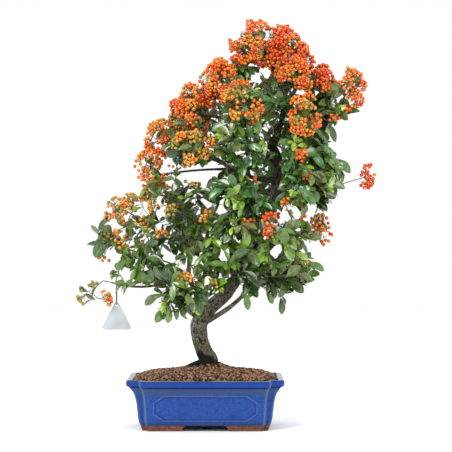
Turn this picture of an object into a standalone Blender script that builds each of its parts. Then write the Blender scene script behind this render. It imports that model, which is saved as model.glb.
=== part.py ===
"""A firethorn bonsai in a glazed pot: trunk, boughs, masses of leaves and berries, soil and pot.

Metres, +Z up. The origin is on the ground, under the middle of the plant's bounding box.
Sizes are written in millimetres and multiplied by MM. The front of the plant faces -Y.
"""

import math
import random

import bmesh
import bpy
from mathutils import Matrix, Vector
from mathutils.bvhtree import BVHTree

MM = 0.001
GAP = 0.3  # clearance between neighbouring solids, in millimetres
CLEARANCE = 1.2  # leaves and twigs keep this far from limbs and from the next mass

# ---------------------------------------------------------------- pot and soil
POT_CENTRE = (-37.0, 0.0)
POT_BASE_HALF = (119, 83)  # half length and half depth of the body above its feet
POT_NOTCH_HALF = (106, 70)  # where each corner steps in
NOTCH_SHARE = 0.46  # how much of the flare the stepped corners take
# (height, flare outwards) of the outer face from the feet to the lip, then of the inner face down
OUTER_PROFILE = ((0, -7), (13, -1.5), (22, 0.8), (43, 3), (57, 5.4), (65, 7.6), (72, 11.6), (79, 17.2),
                 (81, 20.6), (87, 22.4), (91, 19.5))
INNER_PROFILE = ((91, 11.5), (84, 8), (70, 0), (55, -5), (19, -9))
FOOT_HEIGHT = 10
FLOOR_HEIGHT = 12  # of the pot's underside between its feet
FOOT_WIDTH = 15
CUTTER_REACH = 2  # how far a cutter passes the face it opens
FRONT_GAP = (72, 87)  # clear length between the front feet, at their top and at the ground
SIDE_GAP = (54, 69)
SOIL_EDGE = 88  # height of the soil where it meets the wall
SOIL_RISE = 28  # how far it mounds up towards the trunk
SOIL_FALL = 1.8  # 1 for straight slopes, more for a fuller mound
SOIL_FLAT = 0.2  # share of the mound that is flat under the trunk
SOIL_RINGS = (0.85, 0.65, 0.42, SOIL_FLAT)
FOOT_CUT = SOIL_EDGE + SOIL_RISE + GAP  # height of the trunk's flat cut

# ---------------------------------------------------------------- trunk
# (x, y, z, radius), from the flat cut up to the fork
TRUNK = (
    (-32, 0, FOOT_CUT, 19), (-32, 0, 121, 17.2), (-41, -2, 141, 15.2), (-48, -4, 164, 14.8),
    (-49, -4, 186, 15.6), (-38, -2, 206, 14.4), (-22, 0, 222, 13), (4, 6, 247, 12), (27, 10, 283, 11.8),
    (47, 10, 322, 11.6), (65, 6, 362, 11.6), (82, 0, 398, 11.6), (93, -4, 431, 11.7),
    (96, -4, 464, 10.8), (93, -2, 489, 9.3), (86, 0, 508, 7.4),
)

# ---------------------------------------------------------------- boughs
# name: parent, share of the parent's length where it starts, tip, bend of its middle, root and tip radius
LIMBS = {
    "bough_left_low": ("trunk", 0.20, (-103, -12, 290), (6, -6, 22), 6.4, 3.4),
    "bough_right_low": ("trunk", 0.17, (50, -34, 262), (4, -6, -8), 5.4, 3.2),
    "bough_low_front": ("bough_left_low", 0.42, (-84, -50, 262), (4, -2, 8), 3.4, 2.4),
    "bough_left_drop": ("bough_left_low", 0.72, (-209, -2, 262), (0, 8, -14), 3.2, 1.7),
    "bough_left_rise": ("bough_left_low", 0.66, (-84, -18, 372), (8, 4, 0), 3.8, 2.6),
    "bough_outer_left": ("bough_left_rise", 0.55, (-150, -10, 372), (10, 2, -10), 2.8, 1.9),
    "bough_right_fruit": ("trunk", 0.52, (98, -50, 336), (0, -14, 6), 4.4, 2.8),
    "bough_right_mid": ("trunk", 0.70, (120, -44, 418), (-2, -10, 4), 4.4, 2.8),
    "bough_right_high": ("trunk", 0.84, (126, -26, 478), (4, -6, 2), 4.2, 2.6),
    "bough_left_mid": ("trunk", 0.86, (-22, -42, 492), (-4, 2, -12), 5.0, 2.8),
    "bough_left_tip": ("bough_left_mid", 0.84, (-102, -2, 512), (2, 14, 0), 2.6, 1.8),
    "bough_left_tip_low": ("bough_left_mid", 0.66, (-120, -10, 458), (4, 10, 4), 2.6, 1.8),
    "bough_crown": ("trunk", 1.0, (84, -2, 652), (20, -2, 0), 6.0, 2.8),
    "bough_shoulder": ("trunk", 0.93, (10, -14, 602), (-2, -4, -12), 5.6, 2.8),
    "bough_shoulder_low": ("bough_shoulder", 0.62, (-46, -8, 566), (2, 0, 2), 3.0, 2.0),
    "bough_heart": ("bough_shoulder", 0.36, (40, -62, 572), (4, -2, -6), 3.2, 2.2),
    "bough_back_left": ("bough_shoulder", 0.5, (-14, 58, 556), (4, 6, -4), 3.2, 2.2),
    "bough_right_shoulder": ("bough_crown", 0.16, (148, 6, 546), (-2, 2, -8), 4.4, 2.6),
    "bough_right_arc": ("bough_right_shoulder", 0.72, (206, -4, 588), (2, 0, -10), 2.8, 1.8),
    "bough_back_high": ("bough_crown", 0.5, (78, 60, 606), (6, 2, -6), 3.2, 2.2),
}
LIMB_POINTS = 6
LIMB_SIDES = 6
TRUNK_SIDES = 10
COLLAR = 1.25  # a limb is this much thicker where it leaves its parent

# ---------------------------------------------------------------- masses of leaves and berries
# name: limb it grows from, share of the limb's length, centre, radii, twigs, leaves and berries per twig
MASSES = {
    "crown_tip": ("bough_crown", 1.0, (56, 0, 696), (44, 42, 44), 6, 0, 3),
    "crown_right": ("bough_crown", 0.93, (114, -8, 684), (36, 40, 36), 5, 0, 3),
    "shoulder_high": ("bough_shoulder", 1.0, (-6, -20, 624), (43, 42, 38), 6, 0, 3),
    "shoulder_low": ("bough_shoulder_low", 1.0, (-70, -8, 570), (31, 38, 46), 6, 0, 3),
    "heart_fruit": ("bough_heart", 1.0, (40, -92, 588), (48, 42, 39), 6, 0, 3),
    "right_fruit": ("bough_crown", 0.62, (126, -44, 632), (38, 40, 27), 5, 0, 3),
    "right_hanging": ("bough_right_shoulder", 0.45, (138, -92, 560), (30, 38, 43), 4, 2, 2),
    "arc_inner": ("bough_crown", 0.72, (171, 2, 637), (24, 26, 27), 4, 0, 3),
    "arc_outer": ("bough_right_arc", 1.0, (225, -5, 618), (29, 30, 43), 6, 0, 3),
    "right_shoulder": ("bough_right_shoulder", 1.0, (174, 16, 568), (38, 46, 40), 4, 3, 1),
    "left_tip": ("bough_left_tip", 1.0, (-117, 4, 530), (23, 30, 29), 5, 0, 2),
    "left_tip_low": ("bough_left_tip_low", 1.0, (-134, -10, 468), (23, 28, 36), 5, 0, 2),
    "left_mid": ("bough_left_mid", 1.0, (-60, -56, 508), (44, 44, 41), 5, 3, 1),
    "heart_leaf": ("bough_left_mid", 0.45, (34, -82, 516), (47, 42, 39), 5, 3, 1),
    "right_mid_high": ("bough_right_high", 1.0, (158, -34, 486), (56, 48, 37), 5, 4, 0),
    "right_mid_low": ("bough_right_mid", 1.0, (146, -62, 430), (48, 46, 38), 5, 4, 0),
    "right_tip": ("bough_right_mid", 0.86, (245, 6, 452), (18, 17, 31), 3, 0, 2),
    "centre_left": ("trunk", 0.72, (24, -48, 412), (46, 46, 50), 5, 4, 0),
    "low_left_crown": ("bough_left_rise", 1.0, (-90, -20, 418), (60, 46, 42), 5, 3, 1),
    "outer_left_fruit": ("bough_outer_left", 1.0, (-178, -8, 384), (38, 32, 30), 4, 0, 2),
    "left_leaf": ("bough_left_low", 0.93, (-214, 8, 334), (37, 34, 34), 4, 4, 0),
    "left_low": ("bough_left_low", 1.0, (-130, -22, 318), (50, 46, 48), 5, 3, 0),
    "left_drop": ("bough_left_drop", 1.0, (-221, 0, 250), (54, 24, 26), 5, 0, 2),
    "mid_low_front": ("bough_low_front", 1.0, (-82, -82, 252), (62, 46, 46), 5, 4, 0),
    "mid_low": ("trunk", 0.30, (-16, -16, 338), (50, 46, 46), 5, 4, 0),
    "mid_low_right": ("trunk", 0.36, (18, -54, 282), (40, 36, 39), 5, 4, 0),
    "right_low_fruit": ("bough_right_fruit", 0.8, (172, -22, 360), (22, 24, 27), 4, 1, 2),
    "right_low": ("bough_right_fruit", 1.0, (98, -68, 348), (60, 46, 37), 5, 2, 1),
    "right_under": ("bough_right_low", 1.0, (106, -24, 274), (61, 50, 42), 5, 4, 0),
    "back_high": ("bough_back_high", 1.0, (74, 84, 616), (54, 48, 42), 5, 1, 1),
    "back_left": ("bough_back_left", 1.0, (-44, 78, 566), (50, 48, 44), 5, 2, 1),
    "back_right": ("trunk", 0.93, (160, 84, 522), (50, 48, 46), 5, 3, 0),
    "back_mid": ("trunk", 0.78, (68, 88, 430), (60, 50, 50), 5, 3, 0),
    "back_low_left": ("trunk", 0.42, (-66, 82, 366), (60, 50, 46), 5, 3, 0),
    "back_low_right": ("trunk", 0.48, (104, 82, 306), (60, 50, 46), 5, 3, 0),
}

# ---------------------------------------------------------------- tag
TAG_SHARE = 0.93  # where it hangs on its bough
TAG_SIZE = (58, 55)
TAG_CORNER = 5
TAG_THICKNESS = 1
TAG_HOLE_RADIUS = 2.2
TAG_HOLE_DEPTH = 10.5  # from the tag's top corner before it is rounded
LOOP_RADIUS = 0.5  # of the thread itself
LOOP_LENGTH = 38  # from the bough's axis to the bottom of the loop

# ---------------------------------------------------------------- growth
STEM_RADIUS = 2.3
STEM_SHARE = 0.9  # the stem's thickness at most, as a share of the tip it carries on from
STEM_TAPER = 0.85
SHORTEST_STEM = 9
ELBOW_LENGTH = 6
HUB_DEPTH = 0.35  # the stem ends this share of the mass's reach short of its middle
SHORTEST_HUB = 0.4  # but never before this share of the way
TWIG_RADII = (1.6, 1.2)
TWIG_OVERLAP = 2.6  # a twig starts this far back inside the one that carries it
TWIG_SPARES = 3  # more targets than twigs, so that the ones furthest from the hub can be taken
TWIG_ROUTES = 4  # how many ends a twig may try to spring from
LENGTH_COST = 0.3  # what a long way back to the stem counts against an end
LEAF_TWIG_DEPTH = (0.3, 0.62)  # how far out twigs end, as shares of the reach, in a leafy mass
BERRY_TWIG_DEPTH = 0.86  # the furthest they end in a mass of berries
BERRY_TWIG_SPREAD = 0.25
TWIG_LOOSENESS = 1.1  # how far past its own reach a twig's middle or a leaf may pass
LEAF_LENGTH = 60
LEAF_WIDTH = 24
LEAF_THICKNESS = 1.3
LEAF_WIDEST = 0.56  # share of the leaf's length from its root
LEAF_SIZES = (0.72, 1.1)
LEAF_SPREAD = (15, 85)  # degrees between the twig and the leaf
LEAF_SPACING = 6.5  # between leaves along a twig
FIRST_LEAF = 2  # from the twig's end
LAST_LEAF = 0.85  # share of the twig's length from its end
LEAF_NECK = 7  # length at the leaf's root that may be close to a limb
LEAF_BODY = 2.6  # the leaf's width over the radius of the room it needs
LEAF_OUTWARD = 0.9  # how much its upper side turns out from the trunk
LEAF_UPWARD = 0.7
LEAF_TILT = 0.5
LEAF_ROOT = 1.1  # how far its root is sunk behind the twig's middle
LEAF_TRIES = 30
LONGEST_LEAF = 1.15  # of the mass's smallest reach
BERRY_RADIUS = 8.5
BERRY_SIZES = (0.9, 1.1)
BERRY_SPACING = 13.5
BERRY_LENGTH = 10.8  # of twig that each berry keeps free of leaves
BERRY_SEAT = 0.5  # how far a berry's middle stands past its twig's end, in radii
BERRY_OFFSET = 0.75  # how far to the side of its twig it sits, in radii
BERRY_LOOSENESS = 1.12
RIM_POINTS = 8  # tested on each berry's surface
GOLDEN_SHARE = 0.618
GOLDEN_ANGLE = math.pi * (3 - math.sqrt(5))
SEED = 7


# ================================================================ small helpers
def scaled(values):
    return Vector(values) * MM


def clear_scene():
    for obj in list(bpy.data.objects):
        bpy.data.objects.remove(obj)


def make_collection(name):
    collection = bpy.data.collections.new(name)
    bpy.context.scene.collection.children.link(collection)
    return collection


def make_material(name, colour, roughness, metallic=0.0):
    material = bpy.data.materials.new(name)
    material.use_nodes = True
    shader = material.node_tree.nodes["Principled BSDF"]
    shader.inputs["Base Color"].default_value = (*colour, 1.0)
    shader.inputs["Roughness"].default_value = roughness
    shader.inputs["Metallic"].default_value = metallic
    return material


def object_from(bm, name, collection, material=None):
    mesh = bpy.data.meshes.new(name)
    bm.to_mesh(mesh)
    bm.free()
    obj = bpy.data.objects.new(name, mesh)
    collection.objects.link(obj)
    if material:
        mesh.materials.append(material)
    return obj


def evaluated_mesh(obj):
    graph = bpy.context.evaluated_depsgraph_get()
    graph.update()
    return bpy.data.meshes.new_from_object(obj.evaluated_get(graph))


def apply_modifiers(obj):
    mesh = evaluated_mesh(obj)
    obj.modifiers.clear()
    obj.data = mesh


def keep_largest_body(obj):
    """Drops the loose scraps and sealed hollows that a cut or a join can leave."""
    bm = bmesh.new()
    bm.from_mesh(obj.data)
    left = set(bm.faces)
    bodies = []
    while left:
        waiting = [left.pop()]
        body = []
        while waiting:
            face = waiting.pop()
            body.append(face)
            for edge in face.edges:
                for other in edge.link_faces:
                    if other in left:
                        left.remove(other)
                        waiting.append(other)
        bodies.append(body)
    bodies.sort(key=len)
    for body in bodies[:-1]:
        bmesh.ops.delete(bm, geom=body, context="FACES")
    bm.to_mesh(obj.data)
    bm.free()


# ================================================================ pot and soil
def pot_outline(flare, share=1.0):
    """The pot's outline in plan: a rectangle whose four corners step in."""
    half_x = POT_BASE_HALF[0] + flare
    half_y = POT_BASE_HALF[1] + flare
    step_x = POT_NOTCH_HALF[0] + NOTCH_SHARE * flare
    step_y = POT_NOTCH_HALF[1] + NOTCH_SHARE * flare
    points = []
    for sign_x, sign_y, turned in ((1, 1, 0), (-1, 1, 1), (-1, -1, 0), (1, -1, 1)):
        step = [(half_x, step_y), (step_x, step_y), (step_x, half_y)]
        corners = reversed(step) if turned else step
        points += [Vector((sign_x * x, sign_y * y)) * share for x, y in corners]
    return points


def loft(bm, rings):
    """Closes a stack of rings, each a list of points, with quads between them and a face at each end."""
    verts = [[bm.verts.new(point) for point in ring] for ring in rings]
    for low, high in zip(verts, verts[1:]):
        for i in range(len(low)):
            j = (i + 1) % len(low)
            bm.faces.new((low[i], low[j], high[j], high[i]))
    bm.faces.new(list(reversed(verts[0])))
    bm.faces.new(verts[-1])
    bm.normal_update()
    bmesh.ops.triangulate(bm, faces=bm.faces)
    bmesh.ops.recalc_face_normals(bm, faces=bm.faces)


def pot_ring(height, flare, share=1.0):
    """The outline at a height, as points in metres."""
    outline = pot_outline(flare, share)
    return [scaled((POT_CENTRE[0] + p.x, POT_CENTRE[1] + p.y, height)) for p in outline]


def foot_cutter(name, gap, along_x, cutters):
    """A long bar with sloping sides that opens the space between two feet."""
    slope = (gap[1] - gap[0]) / 2 / FOOT_HEIGHT
    top = gap[0] / 2
    low = gap[1] / 2 + slope * CUTTER_REACH
    section = ((-low, -CUTTER_REACH), (low, -CUTTER_REACH), (top, FOOT_HEIGHT), (-top, FOOT_HEIGHT))
    rings = []
    for end in (-POT_BASE_HALF[0] - CUTTER_REACH, POT_BASE_HALF[0] + CUTTER_REACH):
        ring = [(end, s, z) if along_x else (s, end, z) for s, z in section]
        rings.append([scaled((POT_CENTRE[0] + x, POT_CENTRE[1] + y, z)) for x, y, z in ring])
    bm = bmesh.new()
    loft(bm, rings)
    return hidden(object_from(bm, name, cutters))


def hidden(obj):
    obj.hide_render = True
    obj.display_type = "WIRE"
    return obj


def cut(obj, cutter):
    modifier = obj.modifiers.new("cut_" + cutter.name, "BOOLEAN")
    modifier.operation = "DIFFERENCE"
    modifier.object = cutter
    modifier.solver = "EXACT"


def make_pot(parts, cutters, material):
    bm = bmesh.new()
    loft(bm, [pot_ring(z, flare) for z, flare in OUTER_PROFILE + INNER_PROFILE])
    pot = object_from(bm, "pot", parts, material)
    recess = bmesh.new()
    inset = OUTER_PROFILE[0][1] - FOOT_WIDTH
    loft(recess, [pot_ring(z, inset) for z in (-CUTTER_REACH, FLOOR_HEIGHT)])
    cut(pot, hidden(object_from(recess, "cutter_foot_recess", cutters)))
    cut(pot, foot_cutter("cutter_front_feet", FRONT_GAP, False, cutters))
    cut(pot, foot_cutter("cutter_side_feet", SIDE_GAP, True, cutters))
    return pot


def inner_flare(height):
    for (z1, f1), (z0, f0) in zip(INNER_PROFILE, INNER_PROFILE[1:]):
        if z0 <= height <= z1:
            return f0 + (f1 - f0) * (height - z0) / (z1 - z0)
    return INNER_PROFILE[-1][1]


def make_soil(parts, material):
    """The soil fills the pot up to its edge, then mounds up to the trunk's foot."""
    floor, floor_flare = INNER_PROFILE[-1]
    rings = [pot_ring(floor + GAP, floor_flare - 2 * GAP)]
    for height, flare in reversed(INNER_PROFILE[1:-1]):
        rings.append(pot_ring(height, flare - 2 * GAP))
    edge = inner_flare(SOIL_EDGE) - 2 * GAP
    rings.append(pot_ring(SOIL_EDGE, edge))
    for share in SOIL_RINGS:
        low = (share - SOIL_FLAT) / (1 - SOIL_FLAT)
        rings.append(pot_ring(SOIL_EDGE + SOIL_RISE * (1 - low ** SOIL_FALL), edge, share))
    bm = bmesh.new()
    loft(bm, rings)
    return object_from(bm, "soil", parts, material)


# ================================================================ trunk and boughs
def mesh_from_curve(curve, name, collection, material=None, matrix=None):
    """Turns a curve into a closed mesh object, its caps welded on."""
    drawn = bpy.data.objects.new(name + "_curve", curve)
    collection.objects.link(drawn)
    mesh = evaluated_mesh(drawn)
    bpy.data.objects.remove(drawn)
    bm = bmesh.new()
    bm.from_mesh(mesh)
    bmesh.ops.remove_doubles(bm, verts=bm.verts, dist=0.01 * MM)
    if matrix:
        bmesh.ops.transform(bm, matrix=matrix, verts=bm.verts)
    bmesh.ops.recalc_face_normals(bm, faces=bm.faces)
    return object_from(bm, name, collection, material)


def poly_spline(curve, points, cyclic=False):
    """Adds a spline of (x, y, z, bevel share) points, given in millimetres."""
    spline = curve.splines.new("POLY")
    spline.points.add(len(points) - 1)
    for point, (x, y, z, radius) in zip(spline.points, points):
        point.co = (x * MM, y * MM, z * MM, 1)
        point.radius = radius
    spline.use_cyclic_u = cyclic


def tube(name, route, collection, sides, material=None, grown=0.0, cyclic=False):
    """A closed tapering tube along route, a list of (x, y, z, radius) in millimetres."""
    curve = bpy.data.curves.new(name, "CURVE")
    curve.dimensions = "3D"
    curve.bevel_depth = MM
    curve.bevel_resolution = (sides - 4) // 2
    curve.use_fill_caps = not cyclic
    poly_spline(curve, [(x, y, z, radius + grown) for x, y, z, radius in route], cyclic)
    obj = mesh_from_curve(curve, name, collection, material)
    obj.data.shade_smooth()
    return obj


def point_on(route, share):
    """(place, direction, radius) at a share of a route's length."""
    places = [Vector(station[:3]) for station in route]
    lengths = [(b - a).length for a, b in zip(places, places[1:])]
    left = share * sum(lengths)
    for i, length in enumerate(lengths):
        if left <= length or i == len(lengths) - 1:
            t = min(1.0, left / length)
            place = places[i].lerp(places[i + 1], t)
            radius = route[i][3] + (route[i + 1][3] - route[i][3]) * t
            return place, (places[i + 1] - places[i]).normalized(), radius
        left -= length


def limb_routes():
    """Every limb's route: a bent taper from its parent's axis to its own tip."""
    routes = {"trunk": [tuple(station) for station in TRUNK]}
    for name, (parent, share, tip, bend, root_radius, tip_radius) in LIMBS.items():
        start, along, _ = point_on(routes[parent], share)
        route = []
        if share == 1.0:  # it carries straight on from its parent's tip before it bends
            route.append((*(start + along * GAP), root_radius * COLLAR))
            start = start + along * root_radius
        end = Vector(tip)
        middle = start.lerp(end, 0.5) + Vector(bend) * 2
        for i in range(LIMB_POINTS):
            t = i / (LIMB_POINTS - 1)
            place = start * (1 - t) ** 2 + middle * 2 * t * (1 - t) + end * t ** 2
            collar = 1.0 if route else COLLAR
            route.append((*place, (root_radius + (tip_radius - root_radius) * t) * collar))
        routes[name] = route
    return routes


def capsules(route):
    return [(Vector(a[:3]), Vector(b[:3]), max(a[3], b[3])) for a, b in zip(route, route[1:])]


def segment_distance(a, b, c, d):
    """Shortest distance between segments ab and cd."""
    u, v, w = b - a, d - c, a - c
    uu, uv, vv, uw, vw = u.dot(u), u.dot(v), v.dot(v), u.dot(w), v.dot(w)
    span = uu * vv - uv * uv
    s = 0.0 if span < 1e-9 else min(1.0, max(0.0, (uv * vw - vv * uw) / span))
    t = 0.0 if vv < 1e-9 else min(1.0, max(0.0, (uv * s + vw) / vv))
    s = 0.0 if uu < 1e-9 else min(1.0, max(0.0, (uv * t - uw) / uu))
    return (w + u * s - v * t).length


def near(first, second, gap):
    return any(
        segment_distance(a, b, c, d) < ra + rb + gap
        for a, b, ra in first
        for c, d, rb in second
    )


def make_limbs(routes, parts, cutters, bark):
    """Each limb is cut back from the ones it leaves or passes close to, with a fine gap."""
    grown = {}
    for name, route in routes.items():
        sides = TRUNK_SIDES if name == "trunk" else LIMB_SIDES
        limb = tube(name, route, parts, sides, bark)
        body = capsules(route)
        for other in list(grown):
            if LIMBS[name][1] == 1.0 and other == LIMBS[name][0]:
                continue
            if near(body, capsules(routes[other]), 2 * GAP):
                cut(limb, grown[other])
        if limb.modifiers:
            apply_modifiers(limb)
            keep_largest_body(limb)
        grown[name] = hidden(tube("cutter_" + name, route, cutters, sides, grown=GAP))


# ================================================================ tag
def arc(centre, radius, start, end, steps):
    """Points of an arc in the plane, its angles in degrees."""
    for i in range(steps + 1):
        angle = math.radians(start + (end - start) * i / steps)
        yield centre[0] + radius * math.cos(angle), centre[1] + radius * math.sin(angle)


def tag_space(route):
    """The room that the tag and its loop take, as (start, end, radius) runs."""
    place, _, radius = point_on(route, TAG_SHARE)
    knot = place - Vector((0, 0, LOOP_LENGTH))
    foot = knot - Vector((0, 0, TAG_SIZE[1] - TAG_SIZE[0] / 2))
    return [(place, knot, radius + 2 * LOOP_RADIUS + 2 * GAP), (knot, foot, TAG_SIZE[0] / 2)]


def make_tag(route, parts, plastic, cord):
    """A blank three-cornered card that hangs from its bough on a loop of thread."""
    place, _, radius = point_on(route, TAG_SHARE)
    half_loop = radius + LOOP_RADIUS + 2 * GAP
    low = LOOP_LENGTH - half_loop
    ring = list(arc((0, 0), half_loop, 0, 180, 6)) + list(arc((0, -low), half_loop, 180, 360, 6))
    loop = [(place.x, place.y + y, place.z + z, LOOP_RADIUS) for y, z in ring]
    tube("tag_loop", loop, parts, 4, cord, cyclic=True)

    hole_top = place.z - LOOP_LENGTH + LOOP_RADIUS + GAP
    top = hole_top - TAG_HOLE_RADIUS + TAG_HOLE_DEPTH
    width, height = TAG_SIZE
    slope = math.degrees(math.atan2(height, width / 2))
    side = TAG_CORNER / math.tan(math.radians(slope / 2))
    foot = (width / 2 - side, -height + TAG_CORNER)
    apex = (0, -TAG_CORNER / math.cos(math.radians(slope)))
    outline = list(arc(foot, TAG_CORNER, -90, 90 - slope, 3))
    outline += arc(apex, TAG_CORNER, 90 - slope, 90 + slope, 4)
    outline += arc((-foot[0], foot[1]), TAG_CORNER, 90 + slope, 270, 3)
    hole = list(arc((0, hole_top - TAG_HOLE_RADIUS - top), TAG_HOLE_RADIUS, 0, 315, 7))
    curve = bpy.data.curves.new("tag", "CURVE")
    curve.dimensions = "2D"
    curve.fill_mode = "BOTH"
    curve.extrude = TAG_THICKNESS / 2 * MM
    for points in (outline, hole):
        poly_spline(curve, [(x, y, 0, 1) for x, y in points], cyclic=True)
    upright = Matrix.Translation(scaled((place.x, place.y, top))) @ Matrix.Rotation(math.pi / 2, 4, "X")
    mesh_from_curve(curve, "tag", parts, plastic, upright)


# ================================================================ masses of leaves and berries
def scaled_distance(point, mass):
    centre, radii = mass[2], mass[3]
    return math.sqrt(sum(((p - c) / r) ** 2 for p, c, r in zip(point, centre, radii)))


def owned(point, name, reach=1.0):
    """True where the point is within this mass's reach and nearer to it than to any other."""
    here = scaled_distance(point, MASSES[name])
    if here > reach:
        return False
    for other, mass in MASSES.items():
        margin = 2 * CLEARANCE / min(mass[3])
        if other != name and scaled_distance(point, mass) < here + margin:
            return False
    return True


def owned_all(points, name, reach):
    return all(owned(point, name, reach) for point in points)


def stem_of(name, routes):
    """A mass's stem, square to its limb and 0.3 mm clear of it, as (start, end, radius) runs.

    From a limb's tip it carries straight on. From a limb's side it stands out, then bends inwards.
    """
    limb, share, centre, radii = MASSES[name][:4]
    place, along, radius = point_on(routes[limb], share)
    centre = Vector(centre)
    if share == 1.0:
        root = place + along * GAP
        length = (centre - root).dot(along) - HUB_DEPTH * min(radii)
        thick = min(STEM_RADIUS, radius * STEM_SHARE)
        return [(root, root + along * max(length, SHORTEST_STEM), thick)]
    aside = centre - place
    aside = (aside - along * aside.dot(along)).normalized()
    root = place + aside * (radius + GAP)
    elbow = root + aside * ELBOW_LENGTH
    run = centre - elbow
    length = max(run.length - HUB_DEPTH * min(radii), SHORTEST_HUB * run.length)
    hub = elbow + run.normalized() * length
    return [(root, elbow, STEM_RADIUS), (elbow - aside * TWIG_OVERLAP, hub, STEM_RADIUS)]


def even_directions(count, turn):
    """Directions spread evenly over a sphere."""
    for i in range(count):
        z = 1 - 2 * (i + 0.5) / count
        ring = math.sqrt(1 - z * z)
        angle = GOLDEN_ANGLE * i + turn
        yield Vector((ring * math.cos(angle), ring * math.sin(angle), z))


def clear_of(start, end, thick, obstacles):
    """True where the segment keeps its distance from every (start, end, radius) obstacle."""
    return all(segment_distance(start, end, a, b) > r + thick for a, b, r in obstacles)


def grow_twigs(name, stem, obstacles, rng):
    """Twigs that branch from one stem: each new one springs from the best placed end before it."""
    centre, radii, count, leaves, berries = MASSES[name][2:]
    bud, hub, _ = stem[-1]
    low, high = LEAF_TWIG_DEPTH
    if berries > leaves:
        high = min(BERRY_TWIG_DEPTH, TWIG_LOOSENESS - 1.2 * BERRY_RADIUS / min(radii))
        low = high - BERRY_TWIG_SPREAD
    targets = []
    for i, direction in enumerate(even_directions(count + TWIG_SPARES, rng.random() * math.tau)):
        depth = low + (high - low) * ((i * GOLDEN_SHARE) % 1.0)
        target = Vector(c + d * r * depth for c, d, r in zip(centre, direction, radii))
        if owned(target, name):
            targets.append(target)
    targets.sort(key=lambda target: (target - hub).length)
    ends = [(hub - (hub - bud).normalized() * TWIG_OVERLAP, 0.0)]
    twigs = [(start, end, radius, radius * STEM_TAPER) for start, end, radius in stem]
    for target in targets[-count:]:
        ranked = sorted(ends, key=lambda end: (end[0] - target).length + LENGTH_COST * end[1])
        for start, length in ranked[:TWIG_ROUTES]:
            middle = start.lerp(target, 0.5)
            open_end = start + (target - start).normalized() * SHORTEST_STEM
            close = clear_of(start, target, TWIG_RADII[0] + 3 * GAP, obstacles)
            clear = clear_of(open_end, target, TWIG_RADII[0] + CLEARANCE, obstacles)
            if owned(middle, name, TWIG_LOOSENESS) and close and clear:
                twigs.append((start, target, *TWIG_RADII))
                run = target - start
                ends.append((target - run.normalized() * TWIG_OVERLAP, length + run.length))
                break
    return twigs


def leaf_points(root, along, normal, length):
    """The corners of one leaf, its edges raised a little above its root and tip."""
    side = normal.cross(along).normalized()
    widest = root + along * length * LEAF_WIDEST + along.cross(side) * LEAF_THICKNESS
    half = side * LEAF_WIDTH / 2 * length / LEAF_LENGTH
    return root, widest + half, root + along * length, widest - half


def leaf_mesh(points):
    """A folded blade of four faces, from a three-sided cone."""
    bm = bmesh.new()
    bmesh.ops.create_cone(bm, cap_ends=True, segments=3, radius1=1, radius2=0, depth=1)
    for vert, point in zip(bm.verts, points):
        vert.co = point * MM
    return bm


def twig_mesh(start, end, start_radius, end_radius):
    """A three-sided taper."""
    along = end - start
    turn = along.to_track_quat("Z", "Y").to_matrix().to_4x4()
    place = Matrix.Translation(start.lerp(end, 0.5) * MM)
    bm = bmesh.new()
    bmesh.ops.create_cone(bm, cap_ends=True, segments=3, radius1=start_radius * MM,
                          radius2=end_radius * MM, depth=along.length * MM, matrix=place @ turn)
    return bm


def berry_mesh(centre, radius):
    bm = bmesh.new()
    bmesh.ops.create_icosphere(bm, subdivisions=1, radius=radius * MM,
                               matrix=Matrix.Translation(centre * MM))
    return bm


def shoot_frame(start, end):
    """A twig's direction and two directions across it."""
    along = (end - start).normalized()
    across = along.orthogonal().normalized()
    return along, across, along.cross(across)


def crosses(piece, others):
    """True where the piece's surface meets that of any of the others."""
    tree = BVHTree.FromBMesh(piece)
    return any(tree.overlap(other) for other in others)


def grow_berries(name, twigs, first, trees, obstacles, rng):
    """Berries on alternate sides of each twig's outer part, the first at its tip."""
    per_twig = MASSES[name][6]
    pieces = []
    for number, (start, end, *_) in enumerate(twigs):
        if number < first:
            continue
        along, across, other = shoot_frame(start, end)
        turn = rng.random() * math.tau
        for i in range(per_twig):
            radius = BERRY_RADIUS * rng.uniform(*BERRY_SIZES)
            angle = turn + i * GOLDEN_ANGLE
            aside = across * math.cos(angle) + other * math.sin(angle)
            place = end + along * (BERRY_SEAT * radius - i * BERRY_SPACING)
            if i > 0:
                place += aside * radius * BERRY_OFFSET
            rim = [place + d * radius for d in even_directions(RIM_POINTS, 0)]
            if not owned_all(rim, name, BERRY_LOOSENESS):
                continue
            if not clear_of(place, place, radius + CLEARANCE, obstacles):
                continue
            piece = berry_mesh(place, radius)
            if not crosses(piece, trees[:number] + trees[number + 1:]):
                pieces.append(piece)
                trees.append(BVHTree.FromBMesh(piece))
    return pieces


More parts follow.
